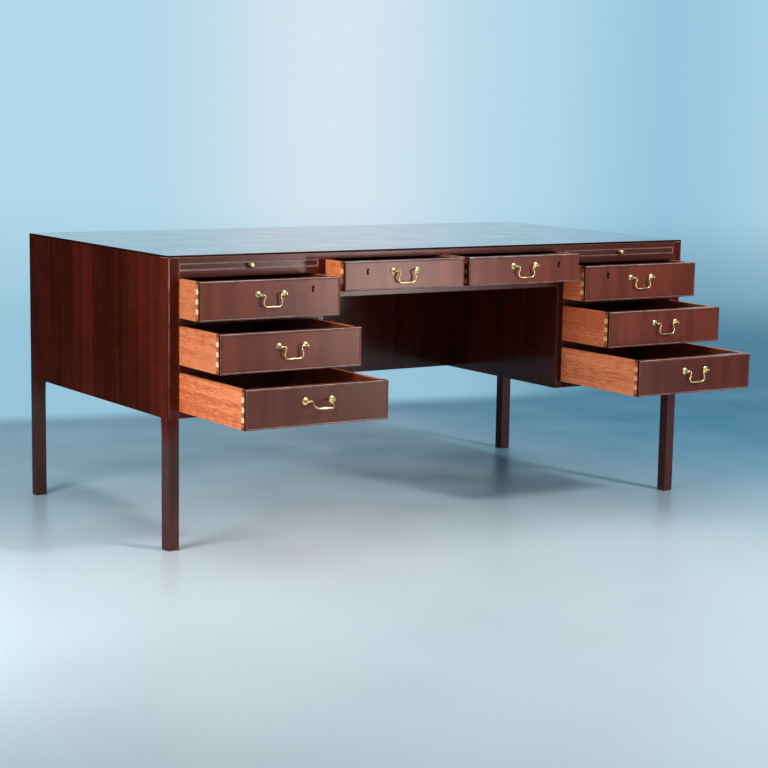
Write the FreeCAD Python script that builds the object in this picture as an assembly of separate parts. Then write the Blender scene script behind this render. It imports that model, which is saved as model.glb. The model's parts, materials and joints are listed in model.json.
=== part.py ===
import FreeCAD, Part
import math
import os

# A large writing desk of dark polished mahogany on four square legs. Each pedestal has three drawers
# under a pull-out writing slide, two shallower drawers lie over the kneehole, and the back is an open
# bookcase in three bays. The drawers stand open as in the picture: each is modelled closed and then
# moved forward by its own opening.
# Millimetres. X runs along the front from left to right, Y from the front to the back, Z up from the
# floor. While a piece is modelled, Y is counted from the front face of the case.

V = FreeCAD.Vector

# The whole desk
desk_width = 1686.0
desk_depth = 858.0
desk_height = 750.0
case_underside = 339.0
overrun = 1.0

# Corner posts, which run down as the legs
post_side = 33.0
post_arris = 8.5
leg_narrowing = 4.5
leg_shoulder_drop = 62.0

# Top board: a thin lip over the whole desk and a core that lies between the side panels
lip_thickness = 5.0
lip_round = 2.4
core_thickness = 15.0

# Panels and boards of the case
side_panel_thickness = 22.0
side_panel_inset = 1.5
inner_panel_thickness = 20.0
inner_panel_round = 6.0
bottom_thickness = 18.0
partition_distance = 536.0
partition_thickness = 18.0

# Openings in the front and the rails between them
pedestal_opening = 406.0
slide_opening = 19.0
centre_opening = 78.5
rail_depth = 60.0
drawer_rail_thickness = 18.0
slide_rail_thickness = 17.0
centre_rail_thickness = 22.5
divider_thickness = 16.0
drawers_in_pedestal = 3

# Strips inside that carry, guide and stop the drawers
runner_width = 24.0
centre_runner_width = 48.0
guide_height = 30.0
stop_length = 30.0
stop_depth = 12.0
stop_height_share = 0.5
stop_place_share = 0.5

# Bookcase shelves on round pins
shelf_thickness = 16.0
shelf_rise = 178.0
shelf_end_gap = 1.0
shelf_setback = 38.0
shelf_back_gap = 2.0
shelf_pin_radius = 2.5
shelf_pin_in = 8.0
shelf_pin_out = 9.0
shelf_pin_inset = 30.0
shelf_pin_clearance = 0.05

# Drawers
front_thickness = 22.0
front_end_gap = 1.0
front_top_gap = 1.5
running_gap = 0.3
bead_width = 4.4
bead_depth = 1.8
bead_round = 1.7
drawer_length = 500.0
drawer_side_thickness = 12.0
drawer_side_drop = 1.0
drawer_back_thickness = 11.0
drawer_back_drop = 6.0
drawer_bottom_thickness = 5.0
groove_depth = 5.0

# Dovetails at the drawer corners: half blind at the front, through at the back
dovetail_lap = 9.0
tail_root_share = 0.4
tail_tip_share = 0.56
pedestal_pins = 3
centre_pins = 2

# Brass handle: two turned posts with a nut behind the front, and a bail that swings in their heads
post_spacing = 75.0
pedestal_handle_drop = 37.0
centre_handle_drop = 27.5
rosette_radius = 9.5
rosette_rim = 1.2
rosette_dome = 3.4
stem_radius = 2.6
stem_foot_radius = 3.8
pivot_standoff = 9.5
head_radius = 4.0
nose_radius = 2.1
nose_length = 1.8
shank_radius = 2.4
shank_clearance = 0.1
shank_end = 2.0
nut_radius = 5.2
nut_thickness = 3.5
nut_sides = 6
bail_wire_radius = 2.2
bail_grip_radius = 3.0
bail_grip_half = 14.5
bail_drop = 30.8
bail_shoulder = 26.5
bail_neck_bend = 4.5
bail_flare_deg = 21.0
bail_corner_bend = 11.0
bail_collar_radius = 3.3
bail_collar_width = 4.6
bail_pin_past_centre = 2.0
bail_pin_clearance = 0.05
bail_end_gap = 0.3
raised_bail_deg = 62.0

# Drawer lock and its keyhole
pedestal_key_share = 0.553
centre_key_share = 0.605
key_drop = 23.2
keyhole_radius = 3.8
keyhole_waist = 2.8
keyhole_foot = 5.4
keyhole_slot_drop = 12.6
keyhole_reach = 4.5
lock_width = 44.0
lock_height = 40.0
lock_depth = 9.0
lock_plate_width = 56.0
lock_plate_margin = 4.0
lock_plate_thickness = 1.6
bolt_width = 14.0
bolt_thickness = 4.6
bolt_length = 17.0
bolt_clearance = 0.3
bolt_throw = 6.0
bolt_mortise_clearance = 1.0

# Writing slide and its knob
slide_length = 440.0
slide_front_depth = 24.0
slide_panel_thickness = 15.0
slide_top_gap = 0.5
slide_bead_width = 3.0
slide_recess = 2.5
slide_bead_round = 0.9
knob_radius = 7.0
knob_length = 15.0
knob_neck_radius = 3.6
knob_foot_radius = 5.2
knob_foot_thickness = 1.5
knob_head_length = 8.0
knob_shank_length = 14.0

# How far each drawer stands open
opened_left_top = 109.0
opened_left_middle = 214.0
opened_left_bottom = 342.0
opened_right_top = 99.0
opened_right_middle = 209.0
opened_right_bottom = 343.0
opened_centre_left = 96.0
opened_centre_right = 94.0

# Heights of the boards
core_underside = desk_height - lip_thickness - core_thickness
lip_underside = desk_height - lip_thickness
bottom_top = case_underside + bottom_thickness
slide_floor = core_underside - slide_opening
drawers_ceiling = slide_floor - slide_rail_thickness
all_drawer_rails = drawer_rail_thickness * (drawers_in_pedestal - 1)
drawer_opening = (drawers_ceiling - bottom_top - all_drawer_rails) / drawers_in_pedestal
centre_floor = core_underside - centre_opening
centre_rail_underside = centre_floor - centre_rail_thickness
shelf_underside = bottom_top + shelf_rise

# Faces along the width
side_face = desk_width / 2
post_inner = side_face - post_side
panel_outer = side_face - side_panel_inset
panel_inner = panel_outer - side_panel_thickness
pedestal_side = post_inner - pedestal_opening
kneehole_side = pedestal_side - inner_panel_thickness
divider_side = divider_thickness / 2

# Faces along the depth
post_depth = post_side + leg_narrowing
back_post_face = desk_depth - post_depth
partition_back = partition_distance + partition_thickness
field = bead_depth
front_back = front_thickness


class Drawer:
    """One drawer: the opening that it fills, how far it is drawn out, and its handle and lock."""

    def __init__(self, name, left, right, floor, ceiling, opened, pins, handle_drop, key=None, tilt=0.0):
        self.name = name
        self.left = left + front_end_gap
        self.right = right - front_end_gap
        self.floor = floor
        self.low = floor + running_gap
        self.high = ceiling - front_top_gap
        self.opened = opened
        self.tails = pins + 1
        tail_pitch = (self.high - self.low) / self.tails
        self.bottom_rise = (tail_pitch - drawer_bottom_thickness) / 2
        self.tilt = tilt
        self.centre = (left + right) / 2
        self.handle_height = self.high - handle_drop
        self.key = None if key is None else self.centre + key
        self.key_height = self.high - key_drop

    def reach(self):
        """Furthest that the handle stands out of the closed drawer."""
        bail = bail_drop * math.sin(math.radians(self.tilt)) + bail_grip_radius
        return pivot_standoff - field + max(bail, head_radius + nose_length)


def opening_floor(level):
    """Floor of a pedestal's drawer opening, counted from the lowest."""
    return bottom_top + level * (drawer_opening + drawer_rail_thickness)


def key_distance(ends, share):
    """Distance of a lock from the middle of its drawer, by its share of the room beside the handle."""
    half_inside = (ends[1] - ends[0]) / 2 - front_end_gap - drawer_side_thickness
    nearest = post_spacing / 2 + nut_radius + lock_plate_width / 2
    furthest = half_inside - lock_plate_width / 2
    return nearest + share * (furthest - nearest)


def pedestal_drawer(name, side, level, opened, keyed=False, tilt=0.0):
    """Drawer of the left (-1) or right (1) pedestal, with any lock on the side of the kneehole."""
    ends = sorted((side * pedestal_side, side * post_inner))
    floor = opening_floor(level)
    key = -side * key_distance(ends, pedestal_key_share) if keyed else None
    return Drawer(name, *ends, floor, floor + drawer_opening, opened, pedestal_pins, pedestal_handle_drop,
                  key, tilt)


def centre_drawer(name, side, opened):
    """Drawer over the left (-1) or right (1) half of the kneehole, with its lock on the outer side."""
    ends = sorted((side * divider_side, side * kneehole_side))
    key = side * key_distance(ends, centre_key_share)
    return Drawer(name, *ends, centre_floor, core_underside, opened, centre_pins, centre_handle_drop, key)


drawers = [
    pedestal_drawer("left_top", -1, 2, opened_left_top, keyed=True),
    pedestal_drawer("left_middle", -1, 1, opened_left_middle),
    pedestal_drawer("left_bottom", -1, 0, opened_left_bottom, tilt=raised_bail_deg),
    pedestal_drawer("right_top", 1, 2, opened_right_top, keyed=True),
    pedestal_drawer("right_middle", 1, 1, opened_right_middle),
    pedestal_drawer("right_bottom", 1, 0, opened_right_bottom),
    centre_drawer("centre_left", -1, opened_centre_left),
    centre_drawer("centre_right", 1, opened_centre_right),
]

# The origin lies on the floor in the middle of the box round the desk with its drawers as they stand
front_reach = max(drawer.opened + drawer.reach() for drawer in drawers)
front_y = (front_reach - desk_depth) / 2


# Shapes in general
def box(x, y, z):
    """Box between the low and high end given for each direction."""
    low = V(x[0], y[0], z[0])
    return Part.makeBox(x[1] - x[0], y[1] - y[0], z[1] - z[0], low)


def mirrored(side, low, high):
    """Ends of a stretch of width on the left (-1) or right (1) of the desk."""
    return sorted((side * low, side * high))


def outline(to_space, start, *steps):
    """Wire through flat points: a step is a point, or a middle and an end point for an arc."""
    edges = []
    here = start
    for step in steps:
        if isinstance(step[0], tuple):
            middle, end = step
            edges.append(Part.Arc(to_space(*here), to_space(*middle), to_space(*end)).toShape())
        else:
            end = step
            edges.append(Part.LineSegment(to_space(*here), to_space(*end)).toShape())
        here = end
    return Part.Wire(edges)


def in_xz(y):
    """Flat points on an upright plane across the desk."""
    return lambda x, z: V(x, y, z)


def in_yz(x):
    """Flat points on an upright plane from front to back."""
    return lambda y, z: V(x, y, z)


def turned(centre, start, *steps):
    """Solid turned about the line along Y through centre: points are radius and distance outwards."""
    profile = outline(lambda radius, out: centre + V(radius, -out, 0), start, *steps)
    return Part.Face(profile).revolve(centre, V(0, 1, 0), 360)


def rod(centre, direction, radius, length):
    """Round bar from centre along a direction."""
    return Part.makeCylinder(radius, length, centre, direction)


def rounded(shape, radius, wanted):
    """Shape with the edges that wanted picks rounded."""
    edges = [edge for edge in shape.Edges if wanted(edge)]
    return shape.makeFillet(radius, edges)


def spans(edge, x=None, y=None, z=None):
    """Whether every end of an edge has the coordinates that are given."""
    for vertex in edge.Vertexes:
        point = vertex.Point
        for value, place in ((point.x, x), (point.y, y), (point.z, z)):
            if place is not None and not math.isclose(value, place, abs_tol=1e-6):
                return False
    return True


# Case
def leg(side, back):
    """Corner post and leg: square at the foot, and swelling by a gentle shoulder to the deeper post."""
    bend = (leg_shoulder_drop ** 2 + leg_narrowing ** 2) / leg_narrowing / 2
    half_drop = leg_shoulder_drop / 2
    half_swell = bend - math.sqrt(bend ** 2 - half_drop ** 2)
    shoulder = case_underside - leg_shoulder_drop
    middle = (post_side + half_swell, shoulder + half_drop)
    edge = (post_depth, case_underside)
    steps = ((post_side, 0), (post_side, shoulder), (middle, edge), (post_depth, lip_underside),
             (0, lip_underside), (0, 0))
    post = Part.Face(outline(in_yz(0), (0, 0), *steps)).extrude(V(post_side, 0, 0))
    post = rounded(post, post_arris, lambda e: spans(e, x=0, y=0))
    if side > 0:
        post = post.mirror(V(0, 0, 0), V(1, 0, 0))
    if back:
        post = post.mirror(V(0, 0, 0), V(0, 1, 0))
    return post.translated(V(side * side_face, desk_depth if back else 0, 0))


def desk_top():
    """Lip with rounded corners and upper edge, in one piece with the core beneath it."""
    lip = box((-side_face, side_face), (0, desk_depth), (lip_underside, desk_height))
    lip = rounded(lip, post_arris, lambda e: e.Length < lip_thickness + overrun)
    lip = rounded(lip, lip_round, lambda e: spans(e, z=desk_height))
    core = box((-panel_inner, panel_inner), (post_depth, back_post_face), (core_underside, lip_underside))
    return lip.fuse(core).removeSplitter()


def side_panel(side):
    """Outer panel between a front and a rear post."""
    width = mirrored(side, panel_inner, panel_outer)
    panel = box(width, (post_depth, back_post_face), (case_underside, lip_underside))
    return panel.cut(shelf_pin_holes(side))


def pedestal_panel(side):
    """Inner side of a pedestal, rounded on its front edge beside the kneehole."""
    width = mirrored(side, kneehole_side, pedestal_side)
    panel = box(width, (0, desk_depth), (case_underside, core_underside))
    ends = mirrored(side, kneehole_side - overrun, kneehole_side + inner_panel_round)
    heights = (case_underside - overrun, centre_rail_underside)
    corner = box(ends, (-overrun, inner_panel_round), heights)
    centre = V(side * (kneehole_side + inner_panel_round), inner_panel_round, heights[0])
    corner = corner.cut(rod(centre, V(0, 0, 1), inner_panel_round, heights[1] - heights[0]))
    return panel.cut(corner).cut(shelf_pin_holes(side))


def kneehole_panel():
    """Upright panel that closes the kneehole."""
    depth = (partition_distance, partition_back)
    return box((-kneehole_side, kneehole_side), depth, (case_underside, core_underside))


def drawer_partitions():
    """Upright boards between the drawers and the bookcase."""
    depth = (partition_distance, partition_back)
    height = (bottom_top, core_underside)
    return [box(mirrored(side, pedestal_side, panel_inner), depth, height) for side in (-1, 1)]


def top_rails():
    """Front and back rails under the lip, between the posts."""
    width = (-post_inner, post_inner)
    height = (core_underside, lip_underside)
    front = box(width, (0, post_depth), height)
    for drawer in drawers:
        if drawer.key is not None and drawer.high > drawers_ceiling:
            front = front.cut(bolt_mortise(drawer, core_underside))
    return [front, box(width, (back_post_face, desk_depth), height)]


def drawer_rails():
    """Rails under each pedestal's writing slide and between its drawers."""
    rails = []
    for side in (-1, 1):
        width = mirrored(side, pedestal_side, post_inner)
        for level in range(1, drawers_in_pedestal):
            high = opening_floor(level)
            rails.append(box(width, (0, rail_depth), (high - drawer_rail_thickness, high)))
        rails.append(box(width, (0, rail_depth), (drawers_ceiling, slide_floor)))
    for drawer in drawers:
        if drawer.key is not None and drawer.high < drawers_ceiling:
            rails = [rail.cut(bolt_mortise(drawer, drawers_ceiling)) for rail in rails]
    return rails


def centre_rail():
    """Rail under the two drawers over the kneehole."""
    return box((-kneehole_side, kneehole_side), (0, rail_depth), (centre_rail_underside, centre_floor))


def centre_divider():
    """Upright board between the two drawers over the kneehole."""
    return box((-divider_side, divider_side), (0, partition_distance), (centre_floor, core_underside))


def bottom_boards():
    """Bottoms of the pedestals, notched round the posts, and of the bookcase between them."""
    height = (case_underside, bottom_top)
    boards = []
    for side in (-1, 1):
        board = box(mirrored(side, pedestal_side, panel_inner), (0, desk_depth), height)
        notch = mirrored(side, post_inner, panel_inner)
        board = board.cut(box(notch, (0, post_depth), height))
        boards.append(board.cut(box(notch, (back_post_face, desk_depth), height)))
    boards.append(box((-kneehole_side, kneehole_side), (partition_back, desk_depth), height))
    return boards


def drawer_runners():
    """Runners behind the rails, and guide strips that fill the width beside the drawers."""
    depth = (rail_depth, partition_distance)
    strips = []
    for side in (-1, 1):
        outer = mirrored(side, panel_inner - runner_width, panel_inner)
        inner = mirrored(side, pedestal_side, pedestal_side + runner_width)
        guide = mirrored(side, post_inner, panel_inner)
        levels = [(opening_floor(level) - drawer_rail_thickness, opening_floor(level))
                  for level in range(1, drawers_in_pedestal)]
        levels.append((drawers_ceiling, slide_floor))
        for height in levels:
            strips.append(box(outer, depth, height))
            strips.append(box(inner, depth, height))
        for level in range(drawers_in_pedestal):
            floor = opening_floor(level)
            strips.append(box(guide, depth, (floor, floor + guide_height)))
        strips.append(box(guide, depth, (slide_floor, core_underside)))
        centre = mirrored(side, kneehole_side - runner_width, kneehole_side)
        strips.append(box(centre, depth, (centre_rail_underside, centre_floor)))
    width = (-centre_runner_width / 2, centre_runner_width / 2)
    strips.append(box(width, depth, (centre_rail_underside, centre_floor)))
    return strips


def drawer_stops():
    """Small blocks on the rails that meet the backs of the closed drawer fronts."""
    depth = (front_back, front_back + stop_depth)
    stops = []
    for drawer in drawers:
        offset = stop_place_share * (drawer.right - drawer.left) / 2
        for middle in (drawer.centre - offset, drawer.centre + offset):
            width = (middle - stop_length / 2, middle + stop_length / 2)
            height = (drawer.floor, drawer.floor + stop_height_share * drawer.bottom_rise)
            stops.append(box(width, depth, height))
    return stops


def bays():
    """Ends of the three bookcase bays along the width."""
    return [(-panel_inner, -pedestal_side), (-kneehole_side, kneehole_side), (pedestal_side, panel_inner)]


def shelf_depth():
    """Front and back of the bookcase shelves."""
    return (partition_back + shelf_back_gap, desk_depth - shelf_setback)


def bookcase_shelves():
    """One loose shelf in each bay."""
    height = (shelf_underside, shelf_underside + shelf_thickness)
    widths = [(left + shelf_end_gap, right - shelf_end_gap) for left, right in bays()]
    return [box(width, shelf_depth(), height) for width in widths]


def shelf_pin_places():
    """Face, direction and depth of each shelf pin."""
    near, far = shelf_depth()
    places = []
    for left, right in bays():
        for depth in (near + shelf_pin_inset, far - shelf_pin_inset):
            places.append((left, 1, depth))
            places.append((right, -1, depth))
    return places


def shelf_pins():
    """Round pins under the ends of the shelves."""
    height = shelf_underside - shelf_pin_radius
    length = shelf_pin_in + shelf_pin_out
    return [rod(V(face - way * shelf_pin_in, depth, height), V(way, 0, 0), shelf_pin_radius, length)
            for face, way, depth in shelf_pin_places()]


def shelf_pin_holes(side):
    """Blind holes for the pins on the left (-1) or right (1) of the desk."""
    height = shelf_underside - shelf_pin_radius
    radius = shelf_pin_radius + shelf_pin_clearance
    holes = [rod(V(face - way * shelf_pin_in, depth, height), V(way, 0, 0), radius, shelf_pin_in + overrun)
             for face, way, depth in shelf_pin_places() if face * side > 0]
    return Part.makeCompound(holes)


# Drawers
def tails(x, root, tip, low, high, count):
    """Dovetail tails of a drawer side, from their root to their wider tip, evenly spread over a height."""
    pitch = (high - low) / count
    half_root = pitch * tail_root_share / 2
    half_tip = pitch * tail_tip_share / 2
    shapes = []
    for number in range(count):
        middle = low + pitch * number + pitch / 2
        low_root = (root, middle - half_root)
        corners = ((tip, middle - half_tip), (tip, middle + half_tip), (root, middle + half_root), low_root)
        wire = outline(in_yz(x[0]), low_root, *corners)
        shapes.append(Part.Face(wire).extrude(V(x[1] - x[0], 0, 0)))
    return shapes


def front_tails(drawer, x):
    """Tails that go into the drawer front, up to its lap."""
    return tails(x, front_back, dovetail_lap, drawer.low, drawer.high, drawer.tails)


def back_height(drawer):
    """Lower and upper edge of the drawer's back board."""
    low = drawer.low + drawer.bottom_rise + drawer_bottom_thickness
    return (low, drawer.high - drawer_back_drop)


def back_tails(drawer, x):
    """Tails that go through the back board."""
    return tails(x, drawer_length - drawer_back_thickness, drawer_length, *back_height(drawer), drawer.tails - 1)


def side_ends(drawer):
    """Ends along the width of the two drawer sides."""
    left = (drawer.left, drawer.left + drawer_side_thickness)
    right = (drawer.right - drawer_side_thickness, drawer.right)
    return [left, right]


def drawer_bottom(drawer):
    """Thin bottom board, held in grooves of the front and of the sides, level with their lowest tail."""
    inner_left = drawer.left + drawer_side_thickness
    inner_right = drawer.right - drawer_side_thickness
    low = drawer.low + drawer.bottom_rise
    height = (low, low + drawer_bottom_thickness)
    board = box((inner_left - groove_depth, inner_right + groove_depth), (front_back, drawer_length), height)
    tongue = box((inner_left, inner_right), (front_back - groove_depth, front_back), height)
    return board.fuse(tongue).removeSplitter()


def drawer_back(drawer):
    """Back board over the bottom, between the tails of the sides."""
    depth = (drawer_length - drawer_back_thickness, drawer_length)
    board = box((drawer.left, drawer.right), depth, back_height(drawer))
    for x in side_ends(drawer):
        for tail in back_tails(drawer, x):
            board = board.cut(tail)
    return board


def drawer_side(drawer, x):
    """Side board with its tails at both ends and the groove for the bottom."""
    back_face = drawer_length - drawer_back_thickness
    height = (drawer.low, drawer.high - drawer_side_drop)
    board = box(x, (front_back, back_face), height)
    for tail in front_tails(drawer, x):
        board = board.fuse(tail)
    pins = box(x, (back_face, drawer_length), back_height(drawer))
    for tail in back_tails(drawer, x):
        pins = pins.cut(tail)
    end = box(x, (back_face, drawer_length), height).cut(pins)
    return board.fuse(end).cut(drawer_bottom(drawer)).removeSplitter()


def drawer_box(drawer):
    """Two sides, a back and a bottom."""
    sides = [drawer_side(drawer, x) for x in side_ends(drawer)]
    return sides + [drawer_back(drawer), drawer_bottom(drawer)]


def beaded_front(x, z, depth, border, recess, rounding):
    """Board with a rounded bead that stands proud round its face."""
    board = box(x, (0, depth), z)
    inset = box((x[0] + border, x[1] - border), (-overrun, recess), (z[0] + border, z[1] - border))
    return rounded(board.cut(inset), rounding, lambda e: spans(e, y=0))


def drawer_front(drawer):
    """Beaded front with sockets for the tails, a groove, and holes for the handle and the lock."""
    ends = (drawer.left, drawer.right)
    front = beaded_front(ends, (drawer.low, drawer.high), front_thickness, bead_width, bead_depth, bead_round)
    for x in side_ends(drawer):
        for tail in front_tails(drawer, x):
            front = front.cut(tail)
    front = front.cut(drawer_bottom(drawer))
    for centre in handle_places(drawer):
        front = front.cut(rod(centre, V(0, 1, 0), shank_radius + shank_clearance, front_thickness + overrun))
    if drawer.key is not None:
        front = front.cut(lock_outside(drawer)).cut(keyhole(drawer))
    return front


# Lock
def keyhole(drawer):
    """Round eye over a slot that widens downward, through the front and a little way into the lock."""
    deep = front_back - lock_depth - lock_plate_thickness + keyhole_reach
    start = V(drawer.key, field - overrun, drawer.key_height)
    eye = rod(start, V(0, 1, 0), keyhole_radius, deep - field + overrun)
    waist = keyhole_waist / 2
    foot = keyhole_foot / 2
    slot = outline(
        lambda x, z: start + V(x, 0, z), (-waist, 0), (-foot, -keyhole_slot_drop), (foot, -keyhole_slot_drop),
        (waist, 0), (-waist, 0))
    return eye.fuse(Part.Face(slot).extrude(V(0, deep - field + overrun, 0)))


def lock_outside(drawer):
    """Lock case with its plates on the top edge and on the inner face of the front."""
    face = front_back - lock_plate_thickness
    half = lock_width / 2
    half_plate = lock_plate_width / 2
    low = drawer.high - lock_height
    case = box((drawer.key - half, drawer.key + half), (face - lock_depth, face), (low, drawer.high))
    plate_ends = (drawer.key - half_plate, drawer.key + half_plate)
    inner = box(plate_ends, (face, front_back), (low - lock_plate_margin, drawer.high))
    plate_height = (drawer.high - lock_plate_thickness, drawer.high)
    upper = box(plate_ends, (face - lock_depth, front_back), plate_height)
    return case.fuse(inner).fuse(upper).removeSplitter()


def bolt_ends(drawer, gap):
    """Width, depth and height of the bolt in its lowest place, with a gap all round."""
    middle = front_back - lock_plate_thickness - lock_depth / 2
    half_width = bolt_width / 2 + gap
    half_depth = bolt_thickness / 2 + gap
    width = (drawer.key - half_width, drawer.key + half_width)
    height = (drawer.high - bolt_length - gap, drawer.high)
    return width, (middle - half_depth, middle + half_depth), height


def lock(drawer):
    """Lock case with the channel in which the bolt slides."""
    width, depth, height = bolt_ends(drawer, bolt_clearance)
    channel = box(width, depth, (height[0], height[1] + overrun))
    return lock_outside(drawer).cut(channel).cut(keyhole(drawer))


def lock_bolt(drawer):
    """Flat bolt that the key lifts into the rail above."""
    return box(*bolt_ends(drawer, 0))


def bolt_mortise(drawer, ceiling):
    """Recess in the rail over a locked drawer that takes the raised bolt."""
    width, depth, height = bolt_ends(drawer, bolt_mortise_clearance)
    return box(width, depth, (ceiling - overrun, drawer.high + bolt_throw + bolt_mortise_clearance))


# Handles
def handle_places(drawer):
    """Foot of each handle post on the face of the front."""
    half = post_spacing / 2
    return [V(drawer.centre + side * half, field, drawer.handle_height) for side in (-1, 1)]


def handle_post(foot, side):
    """Turned post: domed rosette, stem and ball head with a nose, and a shank through the front."""
    stem_top = pivot_standoff - math.sqrt(head_radius ** 2 - stem_radius ** 2)
    nose_foot = pivot_standoff + math.sqrt(head_radius ** 2 - nose_radius ** 2)
    nose_tip = pivot_standoff + head_radius + nose_length
    dome_mid = ((rosette_radius + stem_foot_radius) / 2, (rosette_rim + 2 * rosette_dome) / 3)
    shank = front_thickness - field + nut_thickness + shank_end
    post = turned(
        foot,
        (0, -shank), (shank_radius, -shank), (shank_radius, 0), (rosette_radius, 0),
        (rosette_radius, rosette_rim), (dome_mid, (stem_foot_radius, rosette_dome)),
        (stem_radius, rosette_dome + stem_radius), (stem_radius, stem_top),
        ((head_radius, pivot_standoff), (nose_radius, nose_foot)), (nose_radius, nose_tip), (0, nose_tip),
        (0, -shank))
    pivot = foot + V(side * bail_pin_past_centre, -pivot_standoff, 0)
    hole_radius = bail_wire_radius + bail_pin_clearance
    return post.cut(rod(pivot, V(-side, 0, 0), hole_radius, head_radius + bail_pin_past_centre))


def handle_nut(foot):
    """Six-sided nut on the inner face of the front."""
    corners = []
    for count in range(nut_sides + 1):
        angle = math.radians(360 / nut_sides * count)
        corner = V(nut_radius * math.cos(angle), front_back - field, nut_radius * math.sin(angle))
        corners.append(foot + corner)
    nut = Part.Face(Part.makePolygon(corners)).extrude(V(0, nut_thickness, 0))
    return nut.cut(rod(foot, V(0, 1, 0), shank_radius + shank_clearance, front_thickness + nut_thickness))


def handle_posts(drawer):
    """Posts and nuts of one handle, with the lock of a drawer that has one."""
    pieces = []
    for side, foot in zip((-1, 1), handle_places(drawer)):
        pieces.append(handle_post(foot, side))
        pieces.append(handle_nut(foot))
    if drawer.key is not None:
        pieces.append(lock(drawer))
    return pieces


def straight_wire(start, end):
    """Straight length of bail wire between two points in the plane of the bail."""
    start = V(start[0], 0, start[1])
    along = V(end[0], 0, end[1]) - start
    return Part.makeCylinder(bail_wire_radius, along.Length, start, along)


def bent_wire(centre, radius, start_deg, turn_deg):
    """Bail wire bent about a centre in the plane of the bail."""
    centre = V(centre[0], 0, centre[1])
    arm = V(math.cos(math.radians(start_deg)), 0, math.sin(math.radians(start_deg)))
    section = Part.Wire(Part.makeCircle(bail_wire_radius, centre + arm * radius, arm.cross(V(0, 1, 0))))
    return Part.Face(section).revolve(centre, V(0, -1, 0), turn_deg)


def round_bar(height, *steps):
    """Round bar along the width from its outline of places and radii."""
    face = Part.Face(outline(lambda x, radius: V(x, 0, radius + height), *steps))
    return face.revolve(V(0, 0, height), V(1, 0, 0), 360)


def bail_pin():
    """Straight end of a bail that turns in its post, with a collar beside the post."""
    end = post_spacing / 2 + bail_pin_past_centre - bail_end_gap
    collar_end = post_spacing / 2 - head_radius - bail_end_gap
    collar_start = collar_end - bail_collar_width
    collar_top = (collar_end - bail_collar_width / 2, bail_collar_radius)
    return round_bar(
        0, (bail_shoulder, 0), (bail_shoulder, bail_wire_radius), (collar_start, bail_wire_radius),
        (collar_top, (collar_end, bail_wire_radius)), (end, bail_wire_radius), (end, 0), (bail_shoulder, 0))


def bail_half():
    """Half of a bail from its pin down the swan neck and round the corner to the grip."""
    flare = math.radians(bail_flare_deg)
    bend = 90 + bail_flare_deg
    neck = (bail_shoulder, -bail_neck_bend)
    neck_end = (neck[0] - bail_neck_bend * math.cos(flare), neck[1] - bail_neck_bend * math.sin(flare))
    corner_z = bail_corner_bend * (1 + math.sin(flare)) - bail_drop
    corner_x = neck_end[0] + (neck_end[1] - corner_z) * math.tan(flare)
    corner = (corner_x - bail_corner_bend * math.cos(flare), bail_corner_bend - bail_drop)
    pieces = [
        bent_wire(neck, bail_neck_bend, 90, bend), straight_wire(neck_end, (corner_x, corner_z)),
        bent_wire(corner, bail_corner_bend, bail_flare_deg, -bend),
        straight_wire((corner[0], -bail_drop), (bail_grip_half, -bail_drop))]
    return bail_pin().multiFuse(pieces)


def bail_shape():
    """Swan-necked bail hanging from its pivot line, with a thicker grip and a collar by each post."""
    half = bail_half()
    swell = ((0, bail_grip_radius), (bail_grip_half, bail_wire_radius))
    grip = round_bar(-bail_drop, (-bail_grip_half, 0), (-bail_grip_half, bail_wire_radius), swell,
                     (bail_grip_half, 0), (-bail_grip_half, 0))
    return grip.multiFuse([half, half.mirror(V(0, 0, 0), V(1, 0, 0))])


def bail(drawer, shape):
    """Bail of one drawer, swung out by the drawer's own tilt."""
    turned_bail = shape.copy()
    turned_bail.rotate(V(0, 0, 0), V(-1, 0, 0), drawer.tilt)
    return turned_bail.translated(V(drawer.centre, field - pivot_standoff, drawer.handle_height))


# Writing slides
def slide_centre(side):
    """Middle of a slide along the width."""
    return side * (pedestal_side + post_inner) / 2


def writing_slide(side):
    """Beaded front edge, the flat panel behind it and the battens on which it runs."""
    ends = mirrored(side, pedestal_side + front_end_gap, post_inner - front_end_gap)
    low = slide_floor + running_gap
    high = core_underside - slide_top_gap
    height = (low, high)
    front = beaded_front(ends, height, slide_front_depth, slide_bead_width, slide_recess, slide_bead_round)
    foot = V(slide_centre(side), slide_recess, (low + high) / 2)
    front = front.cut(rod(foot, V(0, 1, 0), shank_radius + shank_clearance, knob_shank_length + overrun))
    depth = (slide_front_depth, slide_length)
    underside = high - slide_panel_thickness
    pieces = [front, box(ends, depth, (underside, high))]
    for low_x, high_x in ((pedestal_side + front_end_gap, pedestal_side + runner_width),
                          (post_inner - runner_width, post_inner - front_end_gap)):
        pieces.append(box(mirrored(side, low_x, high_x), depth, (low, underside)))
    return pieces


def slide_knob(side):
    """Round brass knob with a foot ring, a neck and a flattened ball head."""
    middle = (slide_floor + running_gap + core_underside - slide_top_gap) / 2
    foot = V(slide_centre(side), slide_recess, middle)
    neck_end = knob_length - knob_head_length
    head_middle = neck_end + knob_head_length / 2
    neck_foot = knob_foot_thickness + knob_foot_thickness / 2
    return turned(
        foot,
        (0, -knob_shank_length), (shank_radius, -knob_shank_length), (shank_radius, 0), (knob_foot_radius, 0),
        (knob_foot_radius, knob_foot_thickness), (knob_neck_radius, neck_foot),
        (knob_neck_radius, neck_end), ((knob_radius, head_middle), (knob_neck_radius, knob_length)),
        (0, knob_length), (0, -knob_shank_length))


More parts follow.
